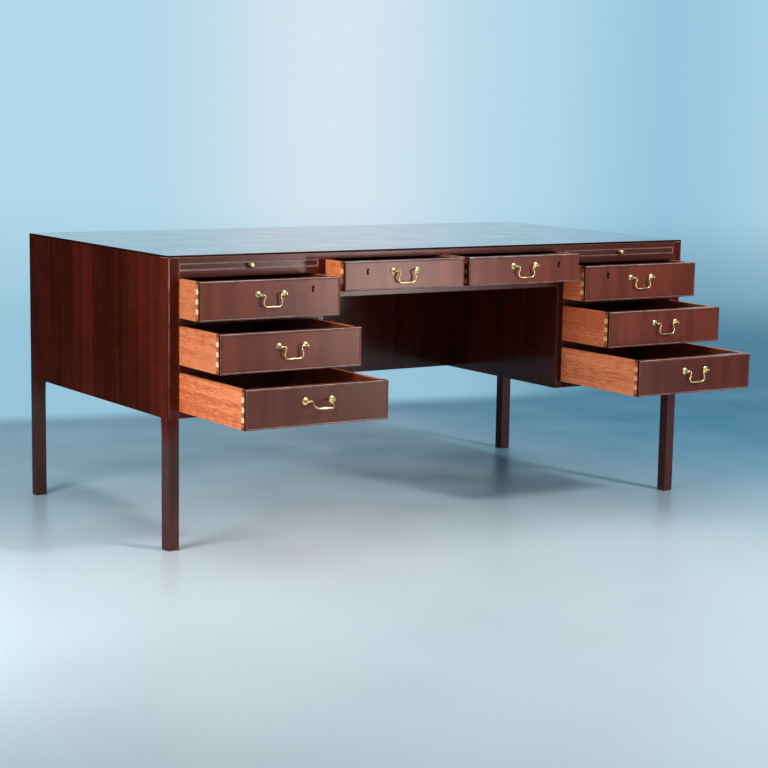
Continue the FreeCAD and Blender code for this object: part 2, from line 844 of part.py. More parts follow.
def all_nodes():
    """Every node with its solids and how far it is moved forward."""
    nodes = {
        "desk_top": (desk_top(), 0),
        "front_left_leg": (leg(-1, False), 0),
        "front_right_leg": (leg(1, False), 0),
        "rear_left_leg": (leg(-1, True), 0),
        "rear_right_leg": (leg(1, True), 0),
        "left_side_panel": (side_panel(-1), 0),
        "right_side_panel": (side_panel(1), 0),
        "left_pedestal_panel": (pedestal_panel(-1), 0),
        "right_pedestal_panel": (pedestal_panel(1), 0),
        "kneehole_panel": (kneehole_panel(), 0),
        "drawer_partitions": (drawer_partitions(), 0),
        "top_rails": (top_rails(), 0),
        "drawer_rails": (drawer_rails(), 0),
        "centre_rail": (centre_rail(), 0),
        "centre_divider": (centre_divider(), 0),
        "bottom_boards": (bottom_boards(), 0),
        "drawer_runners": (drawer_runners(), 0),
        "drawer_stops": (drawer_stops(), 0),
        "bookcase_shelves": (bookcase_shelves(), 0),
        "shelf_pins": (shelf_pins(), 0),
    }
    for name, side in (("left", -1), ("right", 1)):
        nodes[name + "_writing_slide"] = (writing_slide(side), 0)
        nodes[name + "_slide_knob"] = (slide_knob(side), 0)
    shape = bail_shape()
    for drawer in drawers:
        posts = "_posts_and_lock" if drawer.key is not None else "_handle_posts"
        nodes[drawer.name + "_drawer_front"] = (drawer_front(drawer), drawer.opened)
        nodes[drawer.name + "_drawer_box"] = (drawer_box(drawer), drawer.opened)
        nodes[drawer.name + posts] = (handle_posts(drawer), drawer.opened)
        nodes[drawer.name + "_bail"] = (bail(drawer, shape), drawer.opened)
        if drawer.key is not None:
            nodes[drawer.name + "_lock_bolt"] = (lock_bolt(drawer), drawer.opened)
    return nodes


def main():
    os.makedirs("parts", exist_ok=True)
    for name, (shape, opened) in all_nodes().items():
        pieces = shape if isinstance(shape, list) else [shape]
        solids = []
        for piece in pieces:
            solids += piece.Solids
        whole = solids[0] if len(solids) == 1 else Part.makeCompound(solids)
        whole = whole.translated(V(0, front_y - opened, 0))
        whole.exportStep(os.path.join("parts", name + ".step"))
        sound = all(solid.isValid() and solid.isClosed() for solid in solids)
        print(name, len(solids), "solids", "sound" if sound else "NOT SOUND", round(whole.Volume))


if __name__ == "__main__":
    main()
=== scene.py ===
"""Dresses the writing desk: softened and grained wood, polished brass, a pale studio and the camera."""
import json
import math

import bmesh
import bpy
from bpy.props import FloatProperty, FloatVectorProperty, PointerProperty
from mathutils import Matrix, Vector

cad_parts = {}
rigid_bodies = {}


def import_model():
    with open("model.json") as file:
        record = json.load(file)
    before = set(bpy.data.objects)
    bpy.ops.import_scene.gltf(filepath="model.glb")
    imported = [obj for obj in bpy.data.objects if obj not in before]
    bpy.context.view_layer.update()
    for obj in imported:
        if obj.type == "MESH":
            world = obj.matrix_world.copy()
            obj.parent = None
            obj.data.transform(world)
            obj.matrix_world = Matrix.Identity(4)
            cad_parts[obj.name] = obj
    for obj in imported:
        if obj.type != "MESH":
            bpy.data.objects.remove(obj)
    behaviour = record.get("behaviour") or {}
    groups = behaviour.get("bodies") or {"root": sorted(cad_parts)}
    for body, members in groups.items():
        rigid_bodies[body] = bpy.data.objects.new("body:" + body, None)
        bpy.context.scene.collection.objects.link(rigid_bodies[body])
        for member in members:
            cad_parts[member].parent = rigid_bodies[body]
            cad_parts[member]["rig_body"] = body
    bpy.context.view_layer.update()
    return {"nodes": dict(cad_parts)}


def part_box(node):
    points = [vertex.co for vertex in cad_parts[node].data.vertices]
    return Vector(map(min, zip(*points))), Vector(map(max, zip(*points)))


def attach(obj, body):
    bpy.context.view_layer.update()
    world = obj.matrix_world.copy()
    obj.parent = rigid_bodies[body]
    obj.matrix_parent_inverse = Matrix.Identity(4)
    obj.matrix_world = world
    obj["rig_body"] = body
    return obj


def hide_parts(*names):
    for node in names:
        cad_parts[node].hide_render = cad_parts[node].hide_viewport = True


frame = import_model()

bl_info = {
    "name": "Writing Desk Dressing",
    "version": (1, 0, 0),
    "blender": (4, 5, 0),
    "location": "View3D > Sidebar > Desk",
    "description": "Finishes the wood and brass of a pedestal writing desk and sets it in a plain studio",
    "category": "Object",
}

MM = 0.001
PEDESTAL_DRAWERS = [f"{side}_{level}" for side in ("left", "right") for level in ("top", "middle", "bottom")]
CENTRE_DRAWERS = ["centre_left", "centre_right"]
DRAWERS = PEDESTAL_DRAWERS + CENTRE_DRAWERS
LOCKED_DRAWERS = ["left_top", "right_top"] + CENTRE_DRAWERS

# Layers that hold a value for each face of a piece, and that the finishes read: wear with painted highlight,
# darkening that is mostly painted shade, and each board's place in the grain
WEAR_AND_HIGHLIGHT, SHADE_AND_DARKENING, BOARD_SHIFT = "edge_wear_and_highlight", "painted_shade_and_darkening", "board_shift"

# Places of the finishes on a piece that has several; the main one is at 0
TOP_RIM = POST_FRONT = SHADED_INSIDE = 1
PIN_ENDS, LAP_ENDS, HALF_PINS, SHADED_HOLE_WALLS = 1, 2, 3, 4

# Vertices closer together than this are in one place
TOUCHING = 0.001 * MM
# Sides that meet at less than the first angle are one, and corners over the others are sanded and shaded
FLAT_ANGLE, CORNER_ANGLE, SHADED_ANGLE = (math.radians(angle) for angle in (1.0, 40.0, 38.0))
# Least part of its normal along an axis, for a face that looks roughly, mostly or squarely that way
ROUGHLY, MOSTLY, SQUARELY = 0.9, 0.95, 0.99
TOP_SOFTNESS, FRONT_SOFTNESS, DRAWER_SOFTNESS, SLIDE_SOFTNESS = 0.5 * MM, 0.35 * MM, 0.5 * MM, 0.3 * MM
# Depth of the dark rim round the desk top
RIM_DEPTH = 5.2 * MM

# Scatters the boards over the grain pattern, in metres
BOARD_SCATTER = 3.0
SEED_COUNT, SEED_STEP = 97, 0.31

# A leg corner's normal: most of it upwards, least of it each other way, and least frontways for the painted
# highlight
CORNER_UP, CORNER_OUT, CORNER_FRONT = 0.3, 0.1, 0.85
# Painted highlight on the front legs' corners: at the foot of the case, and more for each metre above it
POST_HIGHLIGHT, POST_HIGHLIGHT_RISE = 0.05, 0.8
POST_HIGHLIGHT_STEPS, POST_HIGHLIGHT_STEP = 5, 0.08

# Drawer fronts: painted highlight, with wear, on the bead's top, bottom and ends and on other corners, and
# depth of the painted shade in the quirk and on the bottom fronts
BEAD_TOP_HIGHLIGHT, BEAD_BOTTOM_HIGHLIGHT, BEAD_END_HIGHLIGHT, CORNER_HIGHLIGHT_AND_WEAR = 1.0, 0.35, 0.12, 0.3
QUIRK_SHADE, BOTTOM_FRONT_SHADE = 0.85, 0.42
BOTTOM_FRONT_MARGIN = 10 * MM
# The walls of keyholes and post holes lie this far in from a front's ends, foot, head, face and back
HOLE_FROM_END, HOLE_FROM_FOOT, HOLE_FROM_HEAD = 30 * MM, 15 * MM, 8 * MM
HOLE_FROM_FACE, HOLE_FROM_BACK, HOLE_RIM_DEPTH = 1.9 * MM, 0.5 * MM, 4 * MM
KEYHOLE_HEIGHT, KEYHOLE_WIDENING = 10 * MM, 1.25
END_MARGIN, TOP_ARRIS, FIELD_TOLERANCE = 2.0 * MM, 1.0 * MM, 0.2 * MM

# How much the dovetail tails are darkened, and the depth of the painted shade on the sides of each drawer
TAIL_DARKENING = 0.6
SIDE_SHADE = {"left_top": 0.36, "left_middle": 0.3, "left_bottom": 0.08, "right_middle": 0.28,
               "right_bottom": 0.16, "centre_right": 0.8}
# A face lines a drawer where its normal times its way from the middle is below this
INWARD = -0.01

# Writing slides: depth of the bead and of the field behind it, the painted highlight on the bead, and the
# painted shade in the field
SLIDE_BEAD_DEPTH, SLIDE_FIELD_DEPTH = 2.2 * MM, 6 * MM
SLIDE_BEAD_HIGHLIGHT, SLIDE_FIELD_SHADE = 0.6, 0.6

# Marks in the wood: scale of their noise along and across the grain, its detail, roughness and distortion
DRIFT = (4.0, 22.0)
FIGURE = ((0.7, 5.0), 2.0, 0.5, 0.3)
STREAKS = ((4.0, 260.0), 4.0, 0.62, 0.1)
PORES = ((95.0, 1900.0), 1.0, 0.4)
MOTTLE = ((34.0, 7.0), 2.0, 0.5, 0.4)
RIBBON_LENGTHWISE, RIBBON_NOISE = 0.6, (1.5, 0.45, 0.15)
GRIT_NOISE = (4.0, 0.68)
# Part of each noise over which it goes from dark to light
RIBBON_SPAN, FIGURE_SPAN, STREAK_SPAN, PORE_SPAN = (0.36, 0.64), (0.25, 0.75), (0.28, 0.72), (0.60, 0.72)
MOTTLE_STRENGTH = 0.35
# Share of the dark colour that is left in a pore, and in darkened faces, which are mostly painted shade
PORE_DARK, DARKENED_SHARE = 0.35, 0.18
# Wear and painted highlight on corners: scale, detail and roughness of their noise, and the span with the least
# and most of them
WEAR_AND_HIGHLIGHT_NOISE, WEAR_AND_HIGHLIGHT_SPAN, WEAR_ROUGHENING = (40.0, 3.0, 0.5), (0.35, 0.65, 0.45, 0.9), 0.12
HANDLING_NOISE, HANDLING_SPAN = (9.0, 4.0, 0.6), (0.3, 0.7)
RIPPLE_NOISE = (26.0, 2.0, 0.5)
GRIT_RELIEF, RELIEF_IN_LACQUER = 0.35, 0.03
# Height over which a leg's feet take on their painted sheen, and how far
SHEEN_HEIGHT, SHEEN_SHARE = 0.10, 0.8

# Brass: noise of its clouds and rubbing marks, and spans of hollows, tarnish and tone
BRASS_CLOUDS, BRASS_MARKS, BRASS_MARK_NOISE = (90.0, 4.0, 0.6), (300.0, 2600.0, 1400.0), (1.0, 2.0, 0.5)
HOLLOW_SPAN, TARNISH_SPAN, BRASS_SPAN = (0.44, 0.50, 1.0, 0.0), (0.3, 0.7, 0.35, 0.9), (0.3, 0.75)
BRASS_TONE, TARNISH_ROUGHENING = 0.9, 0.2

# The floor changes along slanting lines: parts of the way right and the way back, and the span in metres
FAR_SLOPE, FAR_SPAN = (0.8, 0.35), (-0.3, 1.9)
BACKDROP_SLOPE, BACKDROP_SPAN = (0.17, 1.0), (1.65, 1.95)
BLUER_SLOPE, FRONT_SPAN, BLUER_SPAN = (0.35, 1.0), (-3.6, -2.7), (-0.9, 1.3, 0.0, 0.9)
# Brightness of the floor in front, near the desk and in its clouds; the brighter front is a painted pool of
# light
FLOOR_TONES = (1.1, 0.95, 0.9)
FLOOR_CLOUDS, FLOOR_CLOUD_SPAN = (2.2, 3.0, 0.5), (0.15, 0.85, 0.0, 0.4)
FLOOR_POLISH, FLOOR_POLISH_SPAN = (3.0, 2.0, 0.45), (0.15, 0.85, 0.29, 0.45)
# The bands of the backdrop stand round this place, right and back of the desk's middle
BAND_CENTRE = (-3.1, -4.7)
DIM_WALL = 0.35
# The foot of the backdrop ends this far from the bands' centre, and this high up
FOOT_SPAN, FOOT_HEIGHT_SPAN, WALL_START = (9.5, 13.6, 0.0, 0.6), (0.0, 0.5, 0.0, 0.4), (0.0, 0.15)
COVE_WIDTH = 1.6
CAMERA_PLACE = (-3.1154, -4.7159, 1.1540)


def paint(name, description, default):
    return FloatVectorProperty(name=name, description=description, default=default, subtype="COLOR", size=3,
                               min=0.0, max=1.0)


def metres(name, description, default):
    return FloatProperty(name=name, description=description, default=default, min=0.0, unit="LENGTH",
                         subtype="DISTANCE", precision=5)


def watts(name, description, default):
    return FloatProperty(name=name, description=description, default=default, min=0.0, unit="POWER",
                         subtype="POWER")


class DeskWoodSettings(bpy.types.PropertyGroup):
    """Sizes and colours of the woodwork"""
    edge_softness: metres("Edge softness", "Width of the sanded corner on rails and panels", 0.7 * MM)
    leg_softness: metres("Leg softness", "Width of the rubbed corner on the legs", 1.1 * MM)
    leg_foot_height: metres("Leg foot height", "Height below which the legs stand free", 0.34)
    lap: metres("Dovetail lap", "Wood left in front of the dovetails", 9 * MM)
    bead: metres("Bead", "Width of the bead round a drawer front", 4.4 * MM)
    bead_proud: metres("Bead proud", "Height of the bead above the front", 1.8 * MM)
    # The line inside the bead is painted shade
    quirk: metres("Quirk", "Width of the line of old polish inside a bead", 1.4 * MM)
    # Painted sheen: the greyer brown that the legs' feet take on
    leg_painted_sheen: paint("Legs, faded", "Greyer brown of the legs' feet", (0.078, 0.037, 0.035))
    top_dark: paint("Top, dark grain", "Darkest grain of the desk top", (0.026, 0.0048, 0.0026))
    top_light: paint("Top, light grain", "Lightest grain of the desk top", (0.064, 0.013, 0.0075))
    panel_dark: paint("Panels, dark ribbon", "Dark ribbons of the panels", (0.026, 0.0036, 0.0016))
    panel_light: paint("Panels, light ribbon", "Light ribbons of the panels", (0.083, 0.0108, 0.0050))
    frame_dark: paint("Frame, dark grain", "Dark grain of legs and rails", (0.042, 0.0050, 0.0020))
    frame_light: paint("Frame, light grain", "Light grain of legs and rails", (0.112, 0.0130, 0.0045))
    front_dark: paint("Fronts, dark grain", "Dark grain of the fronts", (0.100, 0.0150, 0.0060))
    front_light: paint("Fronts, light grain", "Light grain of the fronts", (0.205, 0.036, 0.015))
    drawer_dark: paint("Drawer sides, dark grain", "Dark streaks of the drawer sides", (0.60, 0.118, 0.034))
    drawer_light: paint("Drawer sides, light grain", "Light streaks of the drawer sides", (0.98, 0.295, 0.112))
    # Painted shade: the drawers' insides are a darker copy of their sides' wood
    inside_dark: paint("Drawer insides, dark grain", "Dark streaks inside the drawers", (0.13, 0.028, 0.011))
    inside_light: paint("Drawer insides, light grain", "Light streaks inside the drawers", (0.28, 0.072, 0.030))
    pin_colour: paint("Dovetail pins", "End grain of the pins in the fronts", (0.90, 0.56, 0.26))
    # Painted shade: the pins at the right are a darker, more orange copy of the pin colour
    shaded_pin_colour: paint("Right dovetail pins", "End grain of the pins at the right", (0.85, 0.36, 0.15))


class DeskBrassSettings(bpy.types.PropertyGroup):
    """Colours of the handles, knobs and locks"""
    polished: paint("Polished brass", "Rubbed parts of the handles and knobs", (0.90, 0.62, 0.30))
    tarnished: paint("Tarnished brass", "Hollows that no cloth reaches", (0.20, 0.10, 0.035))
    brushed: paint("Lock bolts", "Brushed brass of the lock bolts", (0.66, 0.49, 0.30))


class DeskStageSettings(bpy.types.PropertyGroup):
    """The studio round the desk"""
    floor_colour: paint("Floor", "Painted floor round the desk", (0.74, 0.81, 0.84))
    # Painted shade: the floor is darker and bluer under and behind the desk
    middle_colour: paint("Middle floor", "Bluer floor under and behind the desk", (0.47, 0.67, 0.79))
    # Painted shade: the floor darkens to deep blue further behind the desk
    far_colour: paint("Far floor", "Floor in front of the backdrop", (0.02, 0.25, 0.41))
    wall_colour: paint("Backdrop", "Pale blue backdrop", (0.45, 0.69, 0.83))
    wall_round_colour: paint("Backdrop, elsewhere", "Rest of the backdrop", (0.30, 0.45, 0.54))
    # Painted light: a brighter band of the backdrop behind the desk
    wall_glow_colour: paint("Backdrop, bright part", "Part of the backdrop behind the desk", (0.69, 0.79, 0.88))
    wall_far_colour: paint("Backdrop, far side", "Bluer side of the backdrop", (0.32, 0.57, 0.74))
    # Painted shade: the darker foot of the backdrop
    wall_low_colour: paint("Backdrop, foot", "Foot of the backdrop", (0.31, 0.55, 0.69))
    wall_shade_colour: paint("Backdrop, shaded foot", "Foot of its far side", (0.08, 0.22, 0.32))
    room_radius: metres("Room radius", "Distance of the backdrop from the desk", 8.0)
    room_height: metres("Room height", "Height of the backdrop", 6.0)
    key_power: watts("Key lamp", "Power of the softbox at the left", 17.0)
    front_power: watts("Front lamp", "Power of the lamp in front", 118.0)
    sheen_power: watts("Sheen lamp", "Power of the low lamp mirrored in the fronts", 22.0)
    ceiling_power: watts("Ceiling lamp", "Power of the wide lamp above", 84.0)
    lens: FloatProperty(name="Lens", description="Focal length of the camera on a 36 mm sensor, in millimetres",
                        default=94.317, min=1.0)


def rgba(colour, strength=1.0):
    return (colour[0] * strength, colour[1] * strength, colour[2] * strength, 1.0)


def dimmed(colour, strength):
    return rgba(colour, strength)[:3]


def along(axis, lengthwise, across):
    """Scale of a pattern that runs along one axis of the desk"""
    return tuple(lengthwise if name == axis else across for name in "XYZ")


class Graph:
    """Makes a material, adds nodes to it and joins them"""

    # Sockets that the mix node has for colours
    SHARE, FIRST, SECOND, MIXED = 0, 6, 7, 2

    def __init__(self, name):
        self.material = bpy.data.materials.new(name)
        self.material.use_nodes = True
        self.tree = self.material.node_tree
        self.tree.nodes.clear()

    def node(self, kind, settings=None, **inputs):
        """A new node; inputs are its sockets by name, with an underscore for each space"""
        node = self.tree.nodes.new(kind)
        for name, value in (settings or {}).items():
            setattr(node, name, value)
        for name, value in inputs.items():
            self.feed(node, name.replace("_", " "), value)
        return node

    def feed(self, node, socket, value):
        target = node.inputs[socket]
        if isinstance(value, bpy.types.NodeSocket):
            self.tree.links.new(value, target)
        else:
            target.default_value = value

    def surface(self, shader):
        """Puts the shader on the surface, and hands over the material"""
        self.node("ShaderNodeOutputMaterial", Surface=shader)
        return self.material

    def place(self):
        return self.node("ShaderNodeTexCoord").outputs["Object"]

    def parts(self, vector):
        separate = self.node("ShaderNodeSeparateXYZ", Vector=vector)
        return [separate.outputs[name] for name in "XYZ"]

    def scaled(self, vector, scale):
        return self.node("ShaderNodeMapping", Vector=vector, Scale=scale).outputs["Vector"]

    def noise(self, vector, scale, detail, roughness, distortion=0.0):
        node = self.node("ShaderNodeTexNoise", Vector=vector, Scale=scale, Detail=detail, Roughness=roughness,
                         Distortion=distortion)
        return node.outputs["Fac"]

    def marks(self, vector, axis, spacing, detail, roughness, distortion=0.0):
        """Noise drawn out along one axis; spacing is its scale along that axis and across it"""
        return self.noise(self.scaled(vector, along(axis, *spacing)), 1.0, detail, roughness, distortion)

    def curve(self, value, low, high, to_low=0.0, to_high=1.0):
        """Goes smoothly from to_low to to_high as the value goes from low to high"""
        node = self.node("ShaderNodeMapRange", {"interpolation_type": "SMOOTHSTEP"}, Value=value, From_Min=low,
                         From_Max=high, To_Min=to_low, To_Max=to_high)
        return node.outputs["Result"]

    def ordered(self, kind, settings, values):
        """A new node whose first sockets take the values in their order"""
        node = self.node(kind, settings)
        for socket, value in enumerate(values):
            self.feed(node, socket, value)
        return node

    def math(self, operation, *terms):
        return self.ordered("ShaderNodeMath", {"operation": operation}, terms).outputs["Value"]

    def vector_math(self, operation, *terms):
        return self.ordered("ShaderNodeVectorMath", {"operation": operation}, terms).outputs["Vector"]

    def slope(self, first, second, shares):
        """The sum of two values, each times its share"""
        return self.math("ADD", self.math("MULTIPLY", first, shares[0]),
                         self.math("MULTIPLY", second, shares[1]))

    def mix(self, share, first, second):
        node = self.node("ShaderNodeMix", {"data_type": "RGBA"})
        self.feed(node, self.SHARE, share)
        self.feed(node, self.FIRST, first)
        self.feed(node, self.SECOND, second)
        return node.outputs[self.MIXED]

    def ramp(self, value, stops):
        node = self.node("ShaderNodeValToRGB", Fac=value)
        node.color_ramp.interpolation = "EASE"
        elements = node.color_ramp.elements
        while len(elements) < len(stops):
            elements.new(1.0)
        for element, (position, colour) in zip(elements, stops):
            element.position = position
            element.color = rgba(colour)
        return node.outputs["Color"]

    def attribute(self, name, output="Fac"):
        return self.node("ShaderNodeAttribute", {"attribute_name": name}).outputs[output]

    def bump(self, height, strength, distance):
        node = self.node("ShaderNodeBump", Height=height, Strength=strength, Distance=distance)
        return node.outputs["Normal"]


def made_once(make):
    """Makes each named finish only the first time that a piece asks for it"""
    def finish(name, *colours, **looks):
        return bpy.data.materials.get(name) or make(name, *colours, **looks)
    return finish


def grain_place(graph, grain, wave):
    """Place on a board in the grain pattern, which wanders a little"""
    place = graph.vector_math("ADD", graph.place(), graph.attribute(BOARD_SHIFT, "Vector"))
    drift = graph.node("ShaderNodeTexNoise", Vector=graph.scaled(place, along(grain, *DRIFT)), Scale=1.0,
                       Detail=2.0)
    return graph.vector_math("MULTIPLY_ADD", drift.outputs["Color"], (wave, wave, wave), place)


def grain_tone(graph, place, grit, grain, ribbon_axis, ribbon, streak, cloud, fleck, bands):
    """0 in the darkest of the wood and 1 in the lightest"""
    figure = graph.marks(place, grain, *FIGURE)
    ribbons = graph.marks(place, ribbon_axis, (RIBBON_LENGTHWISE, bands), *RIBBON_NOISE)
    streaks = graph.marks(place, grain, *STREAKS)
    mottle = graph.marks(place, grain, *MOTTLE)
    rest = 0.5 * (1.0 - ribbon - streak)
    tone = graph.math("MULTIPLY_ADD", graph.curve(ribbons, *RIBBON_SPAN), ribbon, rest)
    tone = graph.math("ADD", tone, graph.math("MULTIPLY", graph.curve(streaks, *STREAK_SPAN), streak))
    swings = ((graph.curve(figure, *FIGURE_SPAN), cloud), (mottle, MOTTLE_STRENGTH), (grit, fleck))
    for mark, strength in swings:
        swing = graph.math("SUBTRACT", mark, 0.5)
        tone = graph.math("ADD", tone, graph.math("MULTIPLY", swing, strength))
    return graph.curve(tone, 0.0, 1.0)


@made_once
def wood(name, dark, light, grain, coat, ribbon_axis=None, ribbon=0.5, streak=0.6, pore=0.5, cloud=0.35,
         fleck=0.6, bands=36.0, grit_spacing=(26.0, 520.0), wave=4.0 * MM, fade=None, worn_and_highlit=(0.30, 0.12, 0.07),
         shine=0.5, tint=(1.0, 1.0, 1.0), roughness=(0.30, 0.46), gloss=0.10, film=0.10):
    """Lacquered, ribbon-figured hardwood whose grain runs along one axis of the desk.

    ribbon, streak, pore, cloud and fleck are strengths of its marks; coat, gloss and film are the strength,
    roughness and ripple of its lacquer; a painted sheen is given as a colour and the height below which the
    wood takes it on.
    """
    graph = Graph(name)
    place = grain_place(graph, grain, wave)
    grit = graph.marks(place, grain, grit_spacing, *GRIT_NOISE)
    tone = grain_tone(graph, place, grit, grain, ribbon_axis or grain, ribbon, streak, cloud, fleck, bands)
    colour = graph.mix(tone, rgba(dark), rgba(light))
    # Painted sheen: below the given height the wood turns greyer
    if fade:
        painted_sheen_colour, top = fade
        share = graph.curve(graph.parts(graph.place())[2], top - SHEEN_HEIGHT, top, SHEEN_SHARE, 0.0)
        colour = graph.mix(share, colour, rgba(painted_sheen_colour))

    pore_depth = graph.curve(graph.marks(place, grain, *PORES), *PORE_SPAN)
    colour = graph.mix(graph.math("MULTIPLY", pore_depth, pore), colour, rgba(dark, PORE_DARK))
    # Marked corners take the pale worn colour, which is wear and painted highlight together
    wear_and_highlight = graph.math("MULTIPLY", graph.attribute(WEAR_AND_HIGHLIGHT),
                      graph.curve(graph.noise(place, *WEAR_AND_HIGHLIGHT_NOISE), *WEAR_AND_HIGHLIGHT_SPAN))
    colour = graph.mix(wear_and_highlight, colour, rgba(worn_and_highlit))
    # Darkened faces turn towards the dark colour: painted shade in quirks, recesses, bottom fronts and drawer
    # sides
    colour = graph.mix(graph.attribute(SHADE_AND_DARKENING), colour, rgba(dark, DARKENED_SHARE))

    rough = graph.curve(graph.noise(place, *HANDLING_NOISE), *HANDLING_SPAN, *roughness)
    rough = graph.math("ADD", rough, graph.math("MULTIPLY", wear_and_highlight, WEAR_ROUGHENING))
    relief = graph.math("SUBTRACT", graph.math("MULTIPLY", grit, GRIT_RELIEF), pore_depth)
    ripple = graph.math("ADD", graph.noise(place, *RIPPLE_NOISE),
                        graph.math("MULTIPLY", relief, RELIEF_IN_LACQUER))
    shader = graph.node("ShaderNodeBsdfPrincipled", Base_Color=colour, Roughness=rough,
                        Normal=graph.bump(relief, strength=0.35, distance=0.06 * MM),
                        Coat_Normal=graph.bump(ripple, strength=film, distance=1.2 * MM),
                        IOR=1.5, Specular_IOR_Level=shine, Specular_Tint=rgba(tint),
                        Coat_Weight=coat, Coat_Roughness=gloss, Coat_IOR=1.5)
    return graph.surface(shader.outputs["BSDF"])


@made_once
def brass(name, rubbed, tarnished, roughness=(0.18, 0.32)):
    """Cast brass, rubbed bright, with darker hollows and fine rubbing marks"""
    graph = Graph(name)
    place = graph.place()
    clouds = graph.noise(place, *BRASS_CLOUDS)
    marks = graph.noise(graph.scaled(place, BRASS_MARKS), *BRASS_MARK_NOISE)
    hollow = graph.curve(graph.node("ShaderNodeNewGeometry").outputs["Pointiness"], *HOLLOW_SPAN)
    dull = graph.math("MULTIPLY", hollow, graph.curve(clouds, *TARNISH_SPAN))
    colour = graph.mix(graph.curve(clouds, *BRASS_SPAN), rgba(rubbed), rgba(rubbed, BRASS_TONE))
    colour = graph.mix(dull, colour, rgba(tarnished))
    rough = graph.math("ADD", graph.curve(clouds, *HANDLING_SPAN, *roughness),
                       graph.math("MULTIPLY", dull, TARNISH_ROUGHENING))
    shader = graph.node("ShaderNodeBsdfPrincipled", Base_Color=colour, Roughness=rough, Metallic=1.0,
                        Normal=graph.bump(graph.math("ADD", marks, clouds), strength=0.06,
                                          distance=0.05 * MM))
    return graph.surface(shader.outputs["BSDF"])


def added(name, data):
    """A new object in the scene"""
    item = bpy.data.objects.new(name, data)
    bpy.context.scene.collection.objects.link(item)
    return item


def smooth_object(mesh, name, materials):
    """Turns a mesh into a smooth-shaded object in the scene"""
    data = bpy.data.meshes.new(name)
    mesh.to_mesh(data)
    mesh.free()
    data.polygons.foreach_set("use_smooth", [True] * len(data.polygons))
    for material in materials:
        data.materials.append(material)
    return added(name, data)


def solids_of(mesh):
    """The loose triangles of a node's own mesh, sorted into its closed solids"""
    solids, solid, open_edges = [], [], {}
    for face in mesh.faces:
        solid.append(face)
        corners = [tuple(round(value / TOUCHING) for value in vert.co) for vert in face.verts]
        for edge in zip(corners, corners[1:] + corners[:1]):
            back = (edge[1], edge[0])
            if open_edges.get(back):
                open_edges[back] -= 1
                if not open_edges[back]:
                    del open_edges[back]
            else:
                open_edges[edge] = open_edges.get(edge, 0) + 1
        if not open_edges:
            solids.append(solid)
            solid = []
    return solids + [solid] if solid else solids


def joined_copy(node, flat=True):
    """The node's own triangles, joined solid by solid, with each flat side made one face"""
    mesh = bmesh.new()
    mesh.from_mesh(frame["nodes"][node].data)
    for corners in [dict.fromkeys(vert for face in solid for vert in face.verts) for solid in solids_of(mesh)]:
        bmesh.ops.remove_doubles(mesh, verts=list(corners), dist=TOUCHING)
    if flat:
        bmesh.ops.dissolve_limit(mesh, angle_limit=FLAT_ANGLE, use_dissolve_boundaries=False, verts=mesh.verts,
                                 edges=mesh.edges, delimit={"NORMAL"})
    return mesh


def cut(mesh, place, direction, geometry=None):
    """Divides the mesh, or the given part of it, along a plane"""
    if geometry is None:
        geometry = mesh.verts[:] + mesh.edges[:] + mesh.faces[:]
    bmesh.ops.bisect_plane(mesh, geom=geometry, dist=TOUCHING, plane_co=place, plane_no=direction)


def face_layer(mesh, name):
    """The layer of that name, which has a number for each face"""
    return mesh.faces.layers.float.get(name) or mesh.faces.layers.float.new(name)


def soften(mesh, width):
    """Sands the sharp outer corners and marks them for wear and a painted highlight"""
    wear_and_highlight = face_layer(mesh, WEAR_AND_HIGHLIGHT)
    edges = [edge for edge in mesh.edges
             if edge.is_manifold and edge.is_convex and edge.calc_face_angle(0.0) > CORNER_ANGLE]
    made = bmesh.ops.bevel(mesh, geom=edges, offset=width, offset_type="OFFSET", segments=2, profile=0.5,
                           affect="EDGES", clamp_overlap=True, material=-1)
    for face in made["faces"]:
        face[wear_and_highlight] = 1.0


def joined_faces(faces):
    """Sorts the faces into groups that hang together by their edges"""
    left = dict.fromkeys(faces)
    while left:
        group, queue = [], [next(iter(left))]
        del left[queue[0]]
        while queue:
            face = queue.pop()
            group.append(face)
            for other in [other for edge in face.edges for other in edge.link_faces]:
                if other in left:
                    del left[other]
                    queue.append(other)
        yield group


def shift_boards(mesh, seed):
    """Gives each separate board its own part of the grain pattern"""
    layer = mesh.faces.layers.float_vector.new(BOARD_SHIFT)
    for count, group in enumerate(joined_faces(mesh.faces), 1):
        shift = Vector((math.sin(seed + 2.1 * count), math.sin(1.7 * seed + 3.3 * count),
                        math.sin(2.3 * seed + 1.3 * count))) * BOARD_SCATTER
        for face in group:
            face[layer] = shift


def seed_of(name):
    """A number of the piece's own, for its part of the grain pattern"""
    return sum(ord(letter) * place for place, letter in enumerate(name, 1)) % SEED_COUNT * SEED_STEP


def finished(mesh, name, body, nodes, materials):
    """Makes a smooth-shaded piece that rides on a body and stands for the given nodes"""
    piece = smooth_object(mesh, name, materials)
    piece.data.set_sharp_from_angle(angle=SHADED_ANGLE)
    weighted = piece.modifiers.new("weighted normals", "WEIGHTED_NORMAL")
    weighted.keep_sharp = True
    weighted.weight = 80
    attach(piece, body)
    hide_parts(*nodes)


def board(node, body, material):
    """A node's boards with sanded corners and their own grain"""
    mesh = joined_copy(node)
    shift_boards(mesh, seed_of(node))
    soften(mesh, bpy.context.scene.desk_wood.edge_softness)
    finished(mesh, node + "_finished", body, [node], [material])


def repaint(node, material):
    """Gives a node that keeps its own mesh a better finish"""
    data = frame["nodes"][node].data
    data.materials.clear()
    data.materials.append(material)


def body_of(node):
    return frame["nodes"][node]["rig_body"]


def darken(mesh, chosen, amount):
    """Darkens the faces chosen by their middle and normal; on most pieces this is painted shade"""
    shading = face_layer(mesh, SHADE_AND_DARKENING)
    for face in mesh.faces:
        if chosen(face.calc_center_median(), face.normal):
            face[shading] = amount


